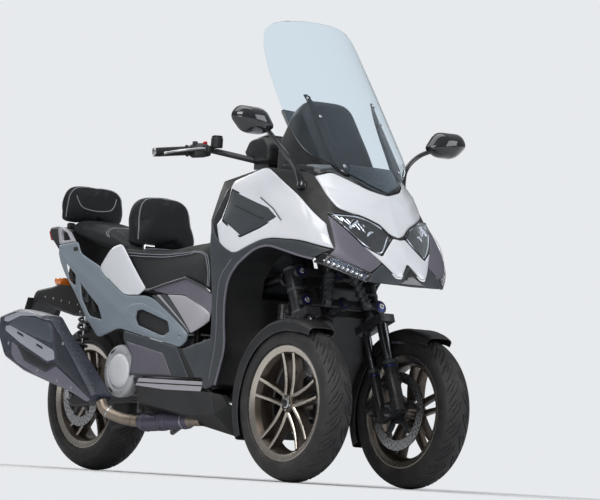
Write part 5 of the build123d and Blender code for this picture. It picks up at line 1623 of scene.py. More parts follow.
def exhaustPieces():
    # header pipe and collector: one round section along the line, its radius grown at the collector,
    # with raised bands where the parts meet
    s = pipeSettings
    path = smoothLine(s["line"], 160)
    y = path[:, 1]
    r = np.interp(y, *s["radius"])
    split = [np.argmin(np.abs(y - q)) for q in s["collector"]]
    parts = [tube(path[:split[0] + 1], r[:split[0] + 1], 32, 0),
             tube(path[split[0]:split[1] + 1], r[split[0]:split[1] + 1], 32, 1),
             tube(path[split[1]:], r[split[1]:], 32, 0)]
    for at, mat in s["bands"]:
        k = np.argmin(np.abs(y - at))
        mid = path[k] + (path[k + 1] - path[k - 1]) * np.array([-0.5, -0.35, 0.35, 0.5])[:, None]
        parts.append(tube(mid, np.array([r[k] - 1, r[k] + 1.8, r[k] + 1.8, r[k] - 1]), 32, mat))
    piece("exhaustPipe", joined(parts), "chassis", ["pipe", "blued", "steel"],
          ["exhaust_pipe"])


tailSettings = {
    "outline": [(1700, 802), (1692, 870), (1692, 926), (1706, 932), (1800, 946), (1849, 942), (1835, 897),
                (1775, 847)],
    "guard": [(1703, 803), (1766, 840), (1795, 741), (1880, 715), (2010, 699), (2053, 625), (2041, 608),
              (1986, 651), (1850, 619), (1720, 594), (1652, 606), (1642, 690), (1702, 743)],
    "flank": [(1800, 730, 8), (1880, 704, 10), (1990, 690, 10), (2020, 640, 8), (1985, 662, 8),
              (1850, 632, 10), (1725, 606, 10), (1664, 616, 8), (1656, 680, 8), (1712, 728, 10)],
    "lamp": [(1850.5, 943), (1865, 924), (1848, 890), (1837, 897)],
    "signal": [(1731, 727), (1734, 740), (1748, 742.5), (1782, 742), (1789, 731), (1780, 714), (1742, 714)],
    # (x, inset) across the tail's block and the mudguard, and (x, share of the outline) across a signal
    "blockStations": ((-118, 9), (-110, 1), (-60, 0), (0, 0), (60, 0), (110, 1), (118, 9)),
    "guardStations": ((-59, 7), (-53, 1), (-20, 0), (20, 0), (53, 1), (59, 7)),
    "signalStations": ((61, 0.7), (68, 0.96), (110, 1), (120, 0.86), (123.5, 0.5)),
}


def tailPieces():
    # tail: the side outline carried across and drawn in at both sides; the mudguard under it is the same
    # kind of sweep with a raised middle panel, a ribbed flank and a plate holder at its end
    s = tailSettings
    parts = [earClipped(sideSweep(closedRound(s["outline"], 14, 14), s["blockStations"])),
             earClipped(sideSweep(closedRound(s["guard"], 16, 14), s["guardStations"]))]
    for side in (1, -1):
        parts.append(cutPanel(flatSide(59.0 * side), s["flank"][::side], roll=2, thick=3, lift=1.2, mat=1,
                              gap=0.2, step=16, inner=(0, 1850, 660)))
        for k in range(5):
            y = 1700 + 58 * k
            parts.append(boltHead((side * 60.2, y, 640 + 8 * k), (side, 0, 0), 4, 2.5, 2))
    plate = moved(chamferBox((-86, -2.5, -70), (86, 2.5, 70), 2, 1), (0, 2047, 604), turnX(math.radians(24)))
    parts += [plate, chamferBox((-30, 2000, 655), (30, 2030, 690), 4, 0)]
    piece("tailPanel", joined(parts), "chassis", ["black", "softBlack", "steel"],
          ["tail_panel"], bevel=1.2)
    lamp = slab(closedRound(s["lamp"], 4, 5), -108, 108, 4, 0)
    outline = np.array(s["signal"], float)
    mid = outline.mean(0)
    signals = [loops([atX(side * x, mid + (outline - mid) * k) for x, k in s["signalStations"]], 1)
               for side in (1, -1)]
    piece("rearLamps", joined([lamp] + signals), "chassis", ["redLens", "orange"],
          ["rear_lamps"], bevel=1.0)


# legs: place behind the steering axis, and radius of the slim and the wide tube
frontBits = {"kingpin": 168.0, "rake": 22.0, "legs": ((-46, 19.5, 25.5), (46, 14.5, 19.5))}


def rakedPoint(x, t, s):
    # a point in the raked frame: s up the steering axis from the front axle, t behind it
    a = math.radians(frontBits["rake"])
    return np.array([x, t * math.cos(a) + s * math.sin(a), frontHub[2] - t * math.sin(a) + s * math.cos(a)])


def suspensionPieces():
    # on the fork: clamps, seals, rods, bolts and a brake line; on the tilt arms and side tubes: pivot
    # bolts with rings, clamps, and a pair of small dampers with springs
    for sideName, side in sides:
        k = frontBits["kingpin"] * side
        leg = (frontBits["kingpin"] - 6) * side
        parts = []
        for t, slim, fat in frontBits["legs"]:
            for s, r in ((158, fat + 2.5), (148, fat + 1.5), (112, fat + 1), (20, fat + 1)):
                path = np.stack([rakedPoint(leg, t, s + d) for d in (-3.5, -2.5, 2.5, 3.5)])
                parts.append(tube(path, [fat, r, r, fat], 32, 1 if s == 148 else 0))
            path = np.stack([rakedPoint(leg, t, s) for s in (160, 172, 176)])
            parts.append(tube(path, [fat + 1, fat + 0.5, slim], 32, 2))
            path = np.stack([rakedPoint(leg, t, s) for s in (176, 250, 334)])
            parts.append(tube(path, slim + 0.35, 32, 3))
        for t, s in ((-46, -20), (46, -20), (-46, 60), (46, 60)):
            parts.append(boltHead(rakedPoint(leg + side * 12, t, s), (side, 0, 0), 8, 6, 4))
        parts.append(spun([(0, 14), (0, 24), (6, 24), (8, 21), (8, 12)], rakedPoint(leg - side * 16, 0, 0), 6,
                          4))
        line = smoothLine([rakedPoint(k, 60, 330), rakedPoint(k + side * 10, 84, 240),
                           rakedPoint(leg + side * 18, 92, 150), rakedPoint(leg + side * 22, 96, 96)], 40)
        parts.append(tube(line, 3.4, 10, 5))
        piece("forkDetail_" + sideName, joined(parts), "knuckle_" + sideName,
              ["blackMetal", "blueRing", "slate", "darkChrome", "steel", "softBlack"])
    fixed = []
    for x in (-frontBits["kingpin"], 0, frontBits["kingpin"]):
        for s in (380, 492):
            for t in (-51.5, 51.5):
                d = rakedPoint(0, 1, 0) - rakedPoint(0, 0, 0)
                way = d * (1 if t > 0 else -1)
                fixed.append(boltHead(rakedPoint(x, t, s), way, 11, 6, 1))
                ring = np.stack([rakedPoint(x, t * q, s) for q in (0.96, 0.99, 1.03, 1.04)])
                fixed.append(tube(ring, [17, 19, 19, 15], 28, 2))
    for side in (1, -1):
        k = frontBits["kingpin"] * side
        for s, r in ((350, 31.5), (436, 30.5), (515, 31.5)):
            fixed.append(tube(np.stack([rakedPoint(k, 0, s + d) for d in (-5, -4, 4, 5)]), [29, r, r, 29], 32,
                              3))
    for side in (1, -1):
        low, top = rakedPoint(side * 92, -64, 372), rakedPoint(side * 30, -64, 560)
        fixed.append(tube(np.stack([low, top]), 8, 16, 4))
        fixed.append(tube(np.stack([low, low + (top - low) * 0.62]), 15, 20, 3))
        fixed.append(spiral(low + (top - low) * 0.06, low + (top - low) * 0.86, 20, 3.2, 8, 0))
        for at in (low, top):
            fixed.append(spun([(-12, 14), (-10, 16), (10, 16), (12, 14)], at, 24, 3))
    piece("tiltDetail", joined(fixed), "chassis", ["blackMetal", "steel", "blueRing", "slate",
                                                  "chrome"])


lampPieces()
screenPieces()
dashPieces()
mirrorPieces()
handlebarPieces()
print("front pieces made")
fenderPieces()
suspensionPieces()
sidePieces()
mufflerPieces()
exhaustPieces()
tailPieces()
print("body pieces made")


# Seat and backrests

seatSettings = {
    "stations": [(558, 88, 770, 800), (575, 108, 762, 838), (615, 130, 752, 861), (660, 145, 748, 868),
                 (740, 153, 747, 864), (860, 154, 747, 853), (1000, 154, 748, 838), (1120, 154, 770, 838),
                 (1200, 154, 794, 846), (1290, 152, 842, 878), (1380, 147, 854, 912), (1480, 140, 868, 934),
                 (1590, 130, 890, 951), (1660, 121, 904, 962), (1694, 112, 912, 956)],
    "boxy": (0.34, 0.42), "bulge": 6.0, "sink": 4, "cap": 7.0, "voxel": 5.0, "pressure": 4.0,
}
padSettings = {"frames": 20, "quality": 5, "stiffness": 25}


def seatSection(half, under, top, count=56):
    # a rounded block: each quarter is an ellipse's with both powers lowered, and the top bulges
    turn = np.linspace(0, 2 * np.pi, count, endpoint=False)
    c, s = np.cos(turn), np.sin(turn)
    px, pz = seatSettings["boxy"]
    x = half * np.sign(c) * np.abs(c) ** px
    z = np.sign(s) * np.abs(s) ** pz
    middleZ, tall = (under + top) / 2, (top - under) / 2
    bulge = np.where(s > 0, seatSettings["bulge"] * (1 - (x / half) ** 2), 0)
    return np.stack([x, middleZ + tall * z + bulge - seatSettings["sink"] * (s > 0)], -1)


def seatShape():
    # the section carried along the seat, its sizes on a smooth curve through the stations
    rows = np.array(seatSettings["stations"], float)
    y = np.linspace(rows[0, 0], rows[-1, 0], 110)
    size = smoothThrough(rows[:, 0], rows[:, 1:], y)
    sections = [seatSection(*k) for k in size]
    return loops([np.stack([sec[:, 0], np.full(len(sec), at), sec[:, 1]], 1) for at, sec in zip(y, sections)])


def backShape(outline, half, inset, corner, base, shoulder=0.42):
    # a side outline carried across; heights above the base shrink towards both ends by a fourth-power
    # law, which rounds the top corners, and the whole draws in at the ends by an ellipse's law
    loop = closedRound(outline, corner, 9)
    rows = []
    for t in np.sin(np.linspace(-1, 1, 51) * np.pi / 2):
        draw = inset * (1 - math.sqrt(max(1 - abs(t) ** 6, 0.0)))
        full = insetLoop(loop, draw - 3.0 * (1 - t * t))
        rise = np.maximum(full[:, 1] - base, 0)
        full[:, 1] -= rise * shoulder * (1 - (1 - min(abs(t), 1.0) ** 4) ** 0.42)
        rows.append(atX(t * half, full))
    return loops(rows)


def inflate(obj, voxel, pressure, cap):
    # turns a base shape into a stuffed one: even mesh, cloth under pressure for some frames, a limit
    # on how far a point may go, and one subdivision
    rest = obj.modifiers.new("even", "REMESH")
    rest.mode, rest.voxel_size = "VOXEL", voxel * 0.001
    graph = bpy.context.evaluated_depsgraph_get()
    mesh = bpy.data.meshes.new_from_object(obj.evaluated_get(graph))
    obj.modifiers.remove(rest)
    work = bpy.data.objects.new("padWork", mesh)
    bpy.context.scene.collection.objects.link(work)
    before = np.zeros(len(mesh.vertices) * 3)
    mesh.vertices.foreach_get("co", before)
    cloth = work.modifiers.new("cloth", "CLOTH")
    cloth.settings.use_pressure = True
    cloth.settings.uniform_pressure_force = pressure
    cloth.settings.effector_weights.gravity = 0
    cloth.settings.quality = padSettings["quality"]
    cloth.settings.tension_stiffness = cloth.settings.compression_stiffness = padSettings["stiffness"]
    scene = bpy.context.scene
    for step in range(1, padSettings["frames"] + 1):
        scene.frame_set(step)
    graph = bpy.context.evaluated_depsgraph_get()
    after = np.zeros(len(mesh.vertices) * 3)
    work.evaluated_get(graph).data.vertices.foreach_get("co", after)
    scene.frame_set(1)
    way = (after - before).reshape(-1, 3)
    far = np.linalg.norm(way, axis=1, keepdims=True)
    way *= np.minimum(1, cap * 0.001 / np.maximum(far, 1e-9))
    new = mesh.copy()
    new.vertices.foreach_set("co", (before.reshape(-1, 3) + way).ravel())
    bpy.data.objects.remove(work)
    old, name = obj.data, obj.data.name
    new.materials.clear()
    for mat in old.materials:
        new.materials.append(mat)
    new.shade_smooth()
    obj.data = new
    bpy.data.meshes.remove(old)
    new.name = name
    sub = obj.modifiers.new("fine", "SUBSURF")
    sub.levels = sub.render_levels = 1


def snapped(obj, path, off):
    # a path's points moved to the nearest place on a piece, and out by the offset along its normal
    graph = bpy.context.evaluated_depsgraph_get()
    tree = BVHTree.FromObject(obj, graph)
    out = []
    for p in (np.asarray(path, float) + (0, axleY, 0)) * 0.001:
        place, normal, _, _ = tree.find_nearest(Vector(p))
        out.append((place + normal * off * 0.001)[:])
    return np.array(out) * 1000 - (0, axleY, 0)


def pipingAlong(obj, lines, radius=2.0, off=0.8):
    # cords of piping along lines on a piece, each laid on the surface and smoothed by a running mean
    parts = []
    for line in lines:
        path = smoothLine(roundedLine(line, 26), 90)
        snap = snapped(obj, path, off)
        smooth = np.stack([np.convolve(np.pad(snap[:, i], 3, mode="edge"), np.ones(7) / 7,
                                       "valid") for i in range(3)], 1)
        parts.append(tube(smooth, radius, 8))
    return joined(parts)


def bothLines(lines):
    # the lines and their mirror images
    return [list(line) for line in lines] + [[(-x, y, z) for x, y, z in line] for line in lines]


def seatPieces():
    # saddle, rider's and passenger's backrests with piping, hinge clasps and the feet of the rear backrest
    s = seatSettings
    seat = piece("saddle", seatShape(), "seat", ["leatherTop"], ["seat"], sharp=80)
    inflate(seat, s["voxel"], s["pressure"], s["cap"])
    rider = piece("riderBackrest", backShape([(1206, 846, 20), (1197, 906, 30), (1240, 1046, 26),
                                              (1286, 1052, 24), (1303, 1000, 40), (1294, 870, 20)], 134, 22,
                                             26, 860), "seat",
                  ["leather"], ["rider_backrest"], sharp=80)
    inflate(rider, s["voxel"], s["pressure"], 8.0)
    rear = piece("passengerBackrest", backShape([(1716, 962, 14), (1701, 1010, 24), (1709, 1094, 20),
                                                 (1731, 1112, 18), (1759, 1060, 26), (1752, 962, 12)], 136,
                                                16, 20, 985, 0.36),
                 "chassis", ["leather"], ["passenger_backrest"], sharp=80)
    inflate(rear, s["voxel"], s["pressure"], 6.0)
    lines = bothLines([[(150, 1390, 892), (147, 1408, 912), (120, 1424, 922), (60, 1428, 926),
                        (0, 1429, 928)],
                       [(150, 1404, 896), (146, 1422, 916), (120, 1438, 926), (60, 1442, 929),
                        (0, 1443, 931)]])
    cross = [[(-150, 1170, 838), (0, 1160, 842), (150, 1170, 838)]]
    piece("saddlePiping", pipingAlong(seat, lines + cross, 1.7), "seat", "thread")
    edges = bothLines([[(134, 1212, 880), (132, 1216, 940), (122, 1226, 990), (104, 1238, 1030),
                        (70, 1246, 1050), (0, 1248, 1056)]])
    piece("riderPiping", pipingAlong(rider, edges, 2.2), "seat", "thread")
    edges = bothLines([[(135, 1712, 975), (133, 1706, 1030), (120, 1710, 1075), (88, 1716, 1100),
                        (0, 1718, 1108)]])
    lower = [[(-96, 1700, 1070), (-76, 1700, 1020), (0, 1700, 1010), (76, 1700, 1020), (96, 1700, 1070)]]
    piece("passengerPiping", pipingAlong(rear, edges + lower, 2.0), "chassis", "thread")
    clasps = []
    for x in (-96, 96):
        clasps.append(chamferBox((x - 20, 1188, 842), (x + 20, 1204, 866), 4, 0))
        clasps.append(spun([(-22, 6), (-20, 8), (20, 8), (22, 6)], (x, 1186, 858), 20, 0))
    piece("backrestClasps", joined(clasps), "seat", "chrome", bevel=0.8)
    feet = [chamferBox((x - 16, 1736, 934), (x + 16, 1754, 960), 4, 0) for x in (-84, 84)]
    piece("rearBackrestFeet", joined(feet), "chassis", "blackMetal", bevel=0.8)


flapSettings = {
    "trim": [(500, 664), (560, 672), (640, 697), (763, 728), (880, 706), (976, 684), (1010, 683)],
    "top": [(556, 764), (572, 812), (600, 852), (640, 864), (690, 861), (760, 838), (850, 832), (930, 829),
            (1100, 836), (1230, 845)],
    "rear": (1000, 1216), "front": 558, "long": 440, "tall": 160,
    "lowerEdge": [(500, 586), (520, 591), (750, 662), (866, 666), (985, 685)],
    "wedge": [(862, 664, 6), (750, 661, 20), (512, 590, 8), (508, 562, 6), (640, 519, 4)],
    "strips": [([(960, 660, 3), (928, 662, 3), (653, 522, 3), (659, 520, 3)], 1),
               ([(926, 662, 3), (906, 663, 3), (650, 523, 2), (652, 521, 2)], 3),
               ([(904, 663, 3), (866, 664, 3), (644, 521, 3), (649, 522, 3)], 1)],
}


def alongTable(name, y):
    # a height read from one of the flap's tables
    return np.interp(y, *np.array(flapSettings[name], float).T)


def flapGrid(u, v):
    # the leather side of the rider's seat: from the trim line at the body side in to the seat's edge;
    # its rear edge leans with the white panel's, and its front end curls in
    s = flapSettings
    y = s["front"] + (s["rear"][0] + (s["rear"][1] - s["rear"][0]) * v - s["front"]) * u
    low, top = alongTable("trim", y), alongTable("top", y)
    z = low + (top - low) * v
    xLow = onBody(np.stack([y, low], -1))[..., 0] - 3
    xTop = np.interp(y, [560, 800, 1000, 1220], [166, 168, 175, 187])
    x = xLow + (xTop - xLow) * (v ** 0.85) + 7 * np.sin(np.pi * v) ** 0.8
    curl = np.clip((612 - y) / 54, 0, 1)
    return np.stack([x * (1 - 0.30 * curl ** 2.2), y, z], -1)


def skirtPieces():
    # leather sides of the seat with double piping, the trim strip under them, and the dark cover below;
    # gives back the pale wedge with its strips
    s = flapSettings
    u, v = np.meshgrid(np.linspace(0, 1, 84), np.linspace(0, 1, 26), indexing="ij")
    points = flapGrid(u, v)
    normals = gridNormals(points)
    near = np.minimum.reduce([u * s["long"], (1 - u) * s["long"], v * s["tall"], (1 - v) * s["tall"]])
    sink = 5.0 * (1 - np.sqrt(1 - (1 - np.clip(near / 7.0, 0, 1)) ** 2))
    side = 1 if np.mean(normals[..., 0]) > 0 else -1
    parts = [plate(points - normals * side * sink[..., None], 7.0)]

    def cord(us, vs, off=1.6):
        # a cord laid on the flap along a line of its two shares
        k = np.linspace(0, 1, 70)
        line = flapGrid(np.interp(k, np.linspace(0, 1, len(us)), us),
                        np.interp(k, np.linspace(0, 1, len(vs)), vs))
        return tube(line + (off, 0, 0), 1.7, 8, 1)

    for gapV in (0.90, 0.835):
        parts.append(cord([0.36, 0.5, 0.75, 0.985], [gapV] * 4))
    for shift in (0.0, 0.022):
        parts.append(cord(np.array([0.10, 0.13, 0.2, 0.30, 0.36]) + shift,
                          [0.03, 0.3, 0.66, 0.86, 0.93 - shift * 2]))
        parts.append(cord(np.array([0.018, 0.03, 0.055, 0.10]) + shift * 0.8, [0.05, 0.4, 0.78, 0.97]))
    y = np.linspace(548, 1004, 70)
    trim = onBody(np.stack([y, alongTable("trim", y) - 3], -1))
    parts.append(tube(trim + (0.5, 0, 0), 5.0, 10, 2))
    y, v = np.meshgrid(np.linspace(505, 976, 60), np.linspace(0, 1, 12), indexing="ij")
    low, top = alongTable("lowerEdge", y), alongTable("trim", y) - 2
    cover = onBody(np.stack([y, low + np.maximum(top - low, 1.5) * v], -1)) - (1.5, 0, 0)
    parts.append(plate(cover, 4.0, 3))
    piece("seatSkirts", bothSides(joined(parts)), "chassis",
          ["leather", "thread", "gloss", "graphite"],
          ["seat_skirts"], sharp=60)
    wedge = [cutPanel(onBody, s["wedge"], roll=3, thick=5, crown=3, mat=3)]
    for outline, mat in s["strips"]:
        wedge.append(cutPanel(onBody, outline, roll=1.5, thick=4, lift=1.5 if mat == 3 else 0, mat=mat,
                              step=20))
    return bothSides(joined(wedge))


# Engine, driveline and rear suspension

engineSettings = {"cover": (1146.0, 377.0), "coverRadius": 99.4, "coverIn": -178.0, "coverOut": -237.5}


def enginePieces():
    # crankcase with ribs and bolts, drive cover on the left, finned cylinder, and the round cover made of
    # one profile turned about its axle with slots and screws
    low, high = nodeBox("engine", axleY)
    lowZ, topZ = low[2], high[2]
    parts = [chamferBox((-165, 780, lowZ + 4), (165, 1118, lowZ + 120), 14, 0),
             chamferBox((-120, 768, lowZ + 40), (120, 930, topZ - 4), 12, 0),
             chamferBox((-140, 900, lowZ + 60), (140, 1110, topZ - 30), 18, 0)]
    for k in range(9):
        y = 776 + k * 17
        parts.append(chamferBox((-128, y, lowZ + 60), (128, y + 5, topZ - 14), 2, 0))
    for k in range(8):
        z = lowZ + 24 + 11.5 * k
        parts.append(chamferBox((-168, 800 + 6 * k, z), (168, 810 + 6 * k, z + 4), 1.5, 0))
    drive = [(1118, 470, 30), (1000, 500, 40), (870, 470, 40), (790, 400, 40), (800, 345, 30),
             (1090, 340, 30)]
    parts.append(slab(closedRound(drive, 30, 16), 120, 168, 8, 1))
    for y, z in ((1100, 462), (1000, 488), (880, 458), (800, 400), (812, 350), (950, 346), (1080, 350)):
        parts.append(boltHead((168, y, z), (1, 0, 0), 6, 4, 2))
    y, z = engineSettings["cover"]
    parts.append(spun([(-177, 32), (-175, 39), (-150, 39.5), (-100, 38)], (0, y, z), 48, 0))
    for a in np.arange(6) * 1.047:
        parts.append(boltHead((-166, 930 + 60 * math.cos(a), 420 + 50 * math.sin(a)), (-1, 0, 0), 6, 4, 2))
    piece("engineBlock", joined(parts), "chassis", ["alloy", "blackMetal", "steel"],
          ["engine"], bevel=1.0)
    s = engineSettings
    r, x0, x1 = s["coverRadius"], s["coverIn"], s["coverOut"]
    profile = [(x0, r - 12), (x0 - 14, r - 3), (x0 - 34, r), (x1 + 16, r), (x1 + 9, r - 4), (x1 + 6, r - 12),
               (x1 + 5, r - 25), (x1 + 10, r - 30), (x1 + 11, r - 34), (x1 + 4, r - 39), (x1 + 1.5, r - 45),
               (x1 + 0.5, 34), (x1 + 1.5, 12), (x1 + 1.5, 0.5)]
    cover = spun(roundedLine(profile, 3, 3), (0, y, z), 96, 0, "x", False)
    centre = cover["v"][cover["q"]].mean(1)
    flatR = np.hypot(centre[:, 1] - y, centre[:, 2] - z)
    cover["qm"] = np.where((flatR < r - 36) & (centre[:, 0] < x1 + 12), 1, 0)
    extra = []
    for k in range(3):
        a = math.radians(62 + 120 * k)
        mid = np.array([0, y + (r - 17) * math.cos(a), z + (r - 17) * math.sin(a)])
        bar = chamferBox((x1 + 4, -4.5, -17), (x1 + 9, 4.5, 17), 1.5, 2)
        extra.append(moved(bar, mid, turnX(a)))
    for k in range(6):
        a = math.radians(10 + 60 * k)
        extra.append(boltHead((x1 + 6, y + (r - 18) * math.cos(a), z + (r - 18) * math.sin(a)), (-1, 0, 0),
                              4.5, 3.5, 3))
    piece("crankCover", joined([cover] + extra), "chassis", ["silver", "paleCover", "black",
                                                             "steel"], ["crank_cover"])


rearSettings = {"armIn": 97.0, "armOut": 138.5, "pivot": (1165.0, 300.0), "shockLow": (1540.0, 312.0),
                "shockHigh": (1480.0, 722.0), "shockX": 156.0}


def rearPieces():
    # swingarm as two slabs with cut-outs and a cross tube, and shock absorbers with springs
    s = rearSettings
    py, pz = s["pivot"]
    hub = rearHub[2]
    outline = [(py - 26, pz, 26), (py + 15, pz + 27, 20), (py + 150, hub + 46, 60), (1590, hub + 42, 26),
               (1648, hub, 30), (1592, hub - 45, 26), (py + 140, hub - 30, 60), (py + 15, pz - 37, 20)]
    loop = closedRound(outline, 26, 14)
    arm = slab(loop, s["armIn"], s["armOut"], 5, 0)
    recess = slab(closedRound([(py + 70, pz + 18, 10), (1500, hub + 24, 10), (1530, hub, 10),
                               (1500, hub - 22, 10), (py + 70, pz - 16, 10)], 10, 12), s["armOut"] - 1,
                  s["armOut"] + 2.5, 1, 1)
    parts = [bothSides(joined([arm, recess])), spun([(-138, 20), (-138, 27), (138, 27), (138, 20)],
                                                    (0, py, pz), 40, 0),
             spun([(-144, 8), (-143, 17), (143, 17), (144, 8)], (0, rearHub[1], hub), 30, 2)]
    cross = spun([(-100, 16), (-100, 22), (100, 22), (100, 16)], (0, py + 78, pz - 4), 30, 0)
    parts.append(cross)
    pins = [spun([(132, 5), (132, 7), (171, 7), (172, 5)], (0, *s["shockLow"]), 20, 2)]
    mount = slab(closedRound([(1524, 310, 5), (1602, 310, 5), (1592, 384, 8), (1546, 384, 8)], 6, 12), -138.4,
                 -104.5, 3, 0)
    parts += [bothSides(joined(pins)), mount]
    for x in (-144, 144):
        parts.append(boltHead((x, rearHub[1], hub), (np.sign(x), 0, 0), 15, 8, 2, False))
    piece("swingarmArms", joined(parts), "chassis", ["blackMetal", "slate", "steel"],
          ["swingarm"], bevel=1.0)
    low, top = np.array([s["shockX"], *s["shockLow"]]), np.array([s["shockX"], *s["shockHigh"]])

    def line(t):
        # points on the shock absorber's axis by their share of its length
        return low + (top - low) * np.asarray(t, float)[:, None]

    shock = [tube(line([0.05, 0.4]), 15, 24, 0), tube(line([0.1, 0.95]), 7, 16, 1),
             tube(line([0.70, 0.71, 0.93, 0.94]), [14, 22, 22, 16], 28, 0),
             tube(line([0.10, 0.11, 0.14, 0.15]), [20, 27, 27, 20], 28, 2),
             tube(line([0.80, 0.81, 0.84, 0.85]), [20, 27.5, 27.5, 20], 28, 2),
             spiral(line([0.14])[0], line([0.81])[0], 22.5, 4.8, 11, 3)]
    for at in (low, top):
        shock.append(spun([(-13, 8), (-13, 16), (13, 16), (13, 8)], at, 28, 0))
        shock.append(boltHead(at + (13, 0, 0), (1, 0, 0), 8, 5, 1))
    piece("rearShockUnits", bothSides(joined(shock)), "chassis", ["blackMetal", "chrome", "slate",
                                                                  "blackMetal"],
          ["rear_shocks"])


guardSettings = {"radius": 297.0, "half": 82.0, "arc": (78, 197)}


def rearGuard():
    # inner mudguard: an arc round the rear hub carried across, flat in the middle and turned in at both
    # sides, with two ribs and a row of screws
    g = guardSettings
    a = np.radians(np.linspace(*g["arc"], 60))[:, None]
    across = np.linspace(-1, 1, 25)[None, :]
    r = g["radius"] + 9 - 26 * np.abs(across) ** 6 + 2.5 * np.exp(-((np.abs(across) - 0.45) / 0.06) ** 2)
    points = np.stack([across * g["half"] + 0 * a, rearHub[1] + r * np.cos(a), rearHub[2] + r * np.sin(a)],
                      -1)
    shell = plate(points, 2.6)
    screws = [boltHead((0, rearHub[1] + (g["radius"] + 9) * math.cos(q),
                        rearHub[2] + (g["radius"] + 9) * math.sin(q)),
                       (0, math.cos(q), math.sin(q)), 5, 3, 1) for q in np.radians((100, 130, 160, 185))]
    piece("rearGuard", joined([shell] + screws), "chassis", ["black", "steel"])


# degrees and distance from the axle: the front callipers are behind the steering axis, the rear one
# ahead of straight up
calliperSettings = {"front": (62, 132), "rear": (20, 110), "rearX": -84.0}


def callipers():
    # brake callipers: a rounded outline carried across the disc in two halves, with pistons and screws
    def body(half, long, high, slot):
        # two halves on either side of the disc, joined over it, with pistons and screws
        outline = closedRound([(-long / 2, -high / 2, 8), (-long / 2, high / 2 - 6, 12),
                               (-long / 4, high / 2, 10), (long / 4, high / 2, 10),
                               (long / 2, high / 2 - 6, 12), (long / 2, -high / 2, 8)], 8, 9)
        top = closedRound([(-long / 2 + 6, high / 2 - 16, 4), (-long / 4, high / 2, 8),
                           (long / 4, high / 2, 8), (long / 2 - 6, high / 2 - 16, 4)], 6, 9)
        parts = [slab(outline, -half, -slot, 2.5, 0), slab(outline, slot, half, 2.5, 0),
                 slab(top, -slot - 1, slot + 1, 0.5, 0)]
        for y in (-long / 4, long / 4):
            for x in (-half, half):
                parts.append(moved(spun([(-2, 12), (1.5, 12), (2, 9), (2, 0.5)], (0, 0, 0), 24, 1, "x",
                                        False), (x + 0.2 * np.sign(x), y, 0)))
        for y in (-long / 2 + 7, long / 2 - 7):
            parts.append(boltHead((half, y, high / 2 - 14), (1, 0, 0), 5, 3, 1))
            parts.append(boltHead((-half, y, high / 2 - 14), (-1, 0, 0), 5, 3, 1))
        return joined(parts)

    for sideName, side in sides:
        x = side * (abs(frontHub[0]) - 70)
        degrees, reach = calliperSettings["front"]
        angle = math.radians(degrees)
        at = rakedPoint(x, reach * math.sin(angle), reach * math.cos(angle))
        turn = turnX(-math.radians(degrees + frontBits["rake"]))
        piece("frontCalliper_" + sideName, moved(body(17, 76, 44, 5), at, turn), "knuckle_" + sideName,
              ["blackMetal", "steel"], ["caliper_front_" + sideName], bevel=0.8)
    degrees, reach = calliperSettings["rear"]
    angle = math.radians(degrees)
    at = np.array([calliperSettings["rearX"], rearHub[1] - reach * math.sin(angle),
                   rearHub[2] + reach * math.cos(angle)])
    piece("rearCalliper", moved(body(20, 70, 44, 5), at, turnX(angle)), "chassis",
          ["blackMetal", "steel"], ["rear_caliper"], bevel=0.8)


def floorPieces():
    # ribbed mats on the footboards, glove box lids, the bar's cover with its screws, and grab rails
    parts = []
    for k in range(11):
        y = 450 + 22 * k
        wide = 300 - (k > 8) * 12 - k * 2.2
        parts.append(chamferBox((148, y, 461.5), (wide - 14, y + 11, 467), 2.5, 0))
    piece("footMats", bothSides(joined(parts)), "chassis", "softBlack")
    rear = lambda flat: np.stack([flat[:, 0], np.full(len(flat), 512.5), flat[:, 1]], -1)
    lids = [cutPanel(rear, [(90, 1046, 14), (226, 1040, 18), (236, 950, 18), (90, 940, 14)], roll=3, thick=4,
                     lift=2.5, inner=(0, 300, 1000)),
            cutPanel(rear, [(150, 1034, 5), (186, 1034, 5), (186, 1020, 5), (150, 1020, 5)], roll=1, thick=2,
                     lift=4, mat=1, inner=(0, 300, 1000))]
    piece("gloveLids", bothSides(joined(lids)), "chassis", ["slate", "gloss"])
    outline = closedRound([(482, 1154, 16), (482, 1222, 18), (524, 1260, 24), (611, 1248, 20),
                           (645, 1196, 16), (604, 1152, 16)], 16, 12)
    shares = np.sin(np.linspace(-1, 1, 23) * np.pi / 2)
    stations = [(t * 83.5, 16 * (1 - math.sqrt(max(1 - abs(t) ** 4, 0)))) for t in shares]
    cover = [loops(sideSweep(outline, stations))]
    cover.append(cutPanel(lambda flat: np.stack([flat[:, 0], flat[:, 1], 1262.5 - 0.13 * (flat[:, 1] - 524)],
                                                -1),
                          [(-60, 530, 10), (60, 530, 10), (52, 604, 10), (-52, 604, 10)], roll=1.5, thick=3,
                          lift=0.6, mat=1, inner=(0, 560, 1000)))
    for x in (-62, 62):
        cover.append(boltHead((x, 528, 1259), (0, -0.5, 1), 6, 3.5, 2))
    piece("barCover", joined(cover), "handlebar", ["black", "gloss", "steel"],
          ["bar_cover"], bevel=0.8)
    rail = cutPanel(onBody, [(1735, 943, 8), (1757, 931, 8), (1728, 869, 8), (1606, 877, 12),
                             (1665, 921, 16)],
                    [[(1722, 926, 6), (1728, 912, 6), (1712, 884, 6), (1640, 886, 8), (1676, 914, 8)]],
                    roll=4, thick=14, lift=-1.5, step=9)
    piece("grabRails", bothSides(rail), "chassis", "paleGrey", ["grab_rails"])


def undersidePieces():
    # radiator with fins, behind the tilt arms
    parts = [chamferBox((-120, 300, 470), (120, 330, 640), 6, 0)]
    for k in range(20):
        z = 480 + 8 * k
        parts.append(chamferBox((-110, 295, z), (110, 302, z + 3), 1, 1))
    piece("radiator", joined(parts), "chassis", ["blackMetal", "alloy"])


